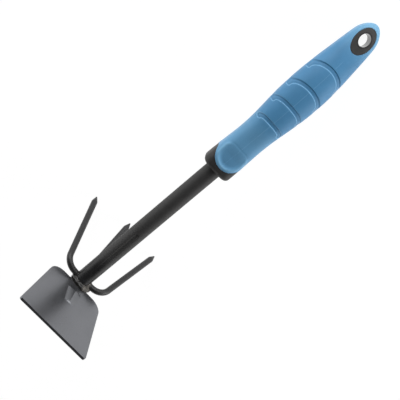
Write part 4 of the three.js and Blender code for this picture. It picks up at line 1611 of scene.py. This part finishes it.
@dataclass
class Studio:
    """Floor, lights and camera.

    Attributes:
        view_turn: The camera's turn as a vector along its axis, as long as its angle.
        view_shift: Where the pivot lies before the camera, in millimetres.
        pivot: The point of the tool's frame that the camera was solved about.
        lens, film: The focal length and the width of the film, in millimetres.
        clip: Between which distances the camera sees, in metres.
        sky_low, sky_high: The heights of a direction, from 0 to 1, below which the sky is
            fully bright and above which it is as dim as overhead.
        sky_side, sky_top: Its strength at the sides and overhead.
        sky_lean: How much brighter it is on the butt's side.
        floor_half: Half the floor's side, in metres.
        floor_lit, floor_seen: The floor's grey and glow, as a light for the tool and where
            the camera or a mirroring surface sees it.
        lamps: Each lamp's name, direction from the tool and power in watts.
        lamp_distance, lamp_size, lamp_aim: How far away the lamps are, how wide, and the
            height that they look at, in metres.
    """

    view_turn: Triple = (-2.6633, 1.0056, 0.281)
    view_shift: Triple = (-105.1296, 70.3959, 745.3478)
    pivot: Triple = (9.0, 0.0, 0.0)
    lens: float = 72.0
    film: float = 36.0
    clip: Pair = (0.01, 50.0)
    sky_low: float = 0.2
    sky_high: float = 0.58
    sky_side: float = 1.9
    sky_top: float = 0.07
    sky_lean: float = 0.3
    floor_half: float = 4.0
    floor_lit: Pair = (0.88, 0.42)
    floor_seen: Pair = (0.16, 0.93)
    lamps: tuple[tuple[str, Triple, float], ...] = (
        ("key_light", (0.75, 0.6, 0.42), 3.2), ("fill_light", (0.3, -0.9, 0.3), 3.0))
    lamp_distance: float = 1.1
    lamp_size: float = 0.6
    lamp_aim: float = 0.05

    def camera(self) -> None:
        """Makes the camera at the viewing angle and makes it the scene's own."""
        vector = Vector(self.view_turn)
        turn = np.array(Quaternion(vector.normalized(), vector.length).to_matrix())
        place = np.array(self.pivot) - turn.T @ np.array(self.view_shift)
        right, down, forward = turn @ FRAME.turn().T
        data = bpy.data.cameras.new("view")
        data.lens, data.sensor_width = self.lens, self.film
        data.clip_start, data.clip_end = self.clip
        matrix = np.eye(4)
        matrix[:3] = np.stack([right, -down, -forward, FRAME.place(place)], axis=1)
        eye = linked("view", data)
        eye.matrix_world = Matrix(matrix.tolist())
        bpy.context.scene.camera = eye

    def light(self) -> None:
        """Adds the lamps, square and soft, that look at the tool's middle."""
        for name, way, power in self.lamps:
            data = bpy.data.lights.new(name, "AREA")
            data.shape, data.size, data.energy = "SQUARE", self.lamp_size, power
            lamp, toward = linked(name, data), Vector(way).normalized()
            lamp.location = toward * self.lamp_distance + Vector((0, 0, self.lamp_aim))
            lamp.rotation_euler = toward.to_track_quat("Z", "Y").to_euler()

    def floor(self) -> None:
        """Makes a wide white floor that shows white to the camera and keeps a soft shadow."""
        mesh, half = bpy.data.meshes.new("floor"), self.floor_half
        corners = [(-half, -half, 0), (half, -half, 0), (half, half, 0), (-half, half, 0)]
        mesh.from_pydata(corners, [], [(0, 1, 2, 3)])
        floor = linked("floor", mesh)
        graph = Graph.material("floor_white")
        lit, seen = (self.glowing(graph, *look) for look in (self.floor_lit, self.floor_seen))
        rays = graph.node("ShaderNodeLightPath").outputs
        glossy, through, camera = (
            Number(graph, rays[f"Is {kind} Ray"]) for kind in ("Glossy", "Transmission", "Camera"))
        mix = graph.node("ShaderNodeMixShader", {0: glossy + through + camera, 1: lit, 2: seen})
        graph.node("ShaderNodeOutputMaterial", {"Surface": mix.outputs[0]})
        mesh.materials.append(graph.owner)

    def glowing(self, graph: Graph, grey: float, strength: float) -> Socket:
        """A dull grey with plain white light of a strength added to it."""
        paint = graph.node("ShaderNodeBsdfDiffuse", {"Color": (grey, grey, grey, 1)})
        glow = graph.node("ShaderNodeEmission", {"Color": WHITE, "Strength": strength})
        both = graph.node("ShaderNodeAddShader", {0: paint.outputs[0], 1: glow.outputs[0]})
        return both.outputs[0]

    def sky(self) -> None:
        """White all round for the camera; for light, bright at the sides and dim above."""
        world = bpy.data.worlds.new("studio")
        bpy.context.scene.world = world
        graph = Graph(world)
        way = graph.node("ShaderNodeTexCoord").outputs["Generated"]
        parts = graph.node("ShaderNodeSeparateXYZ", {0: way}).outputs
        height, along = Number(graph, parts["Z"]), Number(graph, parts["X"])
        strength = graph.band(height, self.sky_low, self.sky_high, self.sky_side, self.sky_top)
        strength = strength * (1 + along * self.sky_lean)
        dim, white = (graph.node("ShaderNodeBackground", {"Color": WHITE, "Strength": power})
                      for power in (strength, 1.0))
        ray = graph.node("ShaderNodeLightPath").outputs["Is Camera Ray"]
        mix = graph.node("ShaderNodeMixShader", {0: ray, 1: dim.outputs[0], 2: white.outputs[0]})
        graph.node("ShaderNodeOutputWorld", {"Surface": mix.outputs[0]})

    def build(self) -> None:
        """Sets the stage."""
        bpy.context.scene.view_settings.view_transform = "Standard"
        self.camera()
        self.floor()
        self.sky()
        self.light()


def main() -> None:
    """Loads the frame, builds the tool and the studio, and notes the sizes."""
    logging.basicConfig(level=logging.INFO, format="%(name)s: %(message)s")
    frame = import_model()
    finishes = {
        "blade_steel": BladeSteel().build(), "black_steel": BlackSteel().build(),
        "weld_bead": WeldBead().build(), "core_plastic": CorePlastic().build(),
        "cover_rubber": CoverRubber().build()}
    Handle().build(finishes)
    Head().build(finishes, frame["nodes"]["blade_tang"])
    Studio().build()


if __name__ == "__main__":
    main()
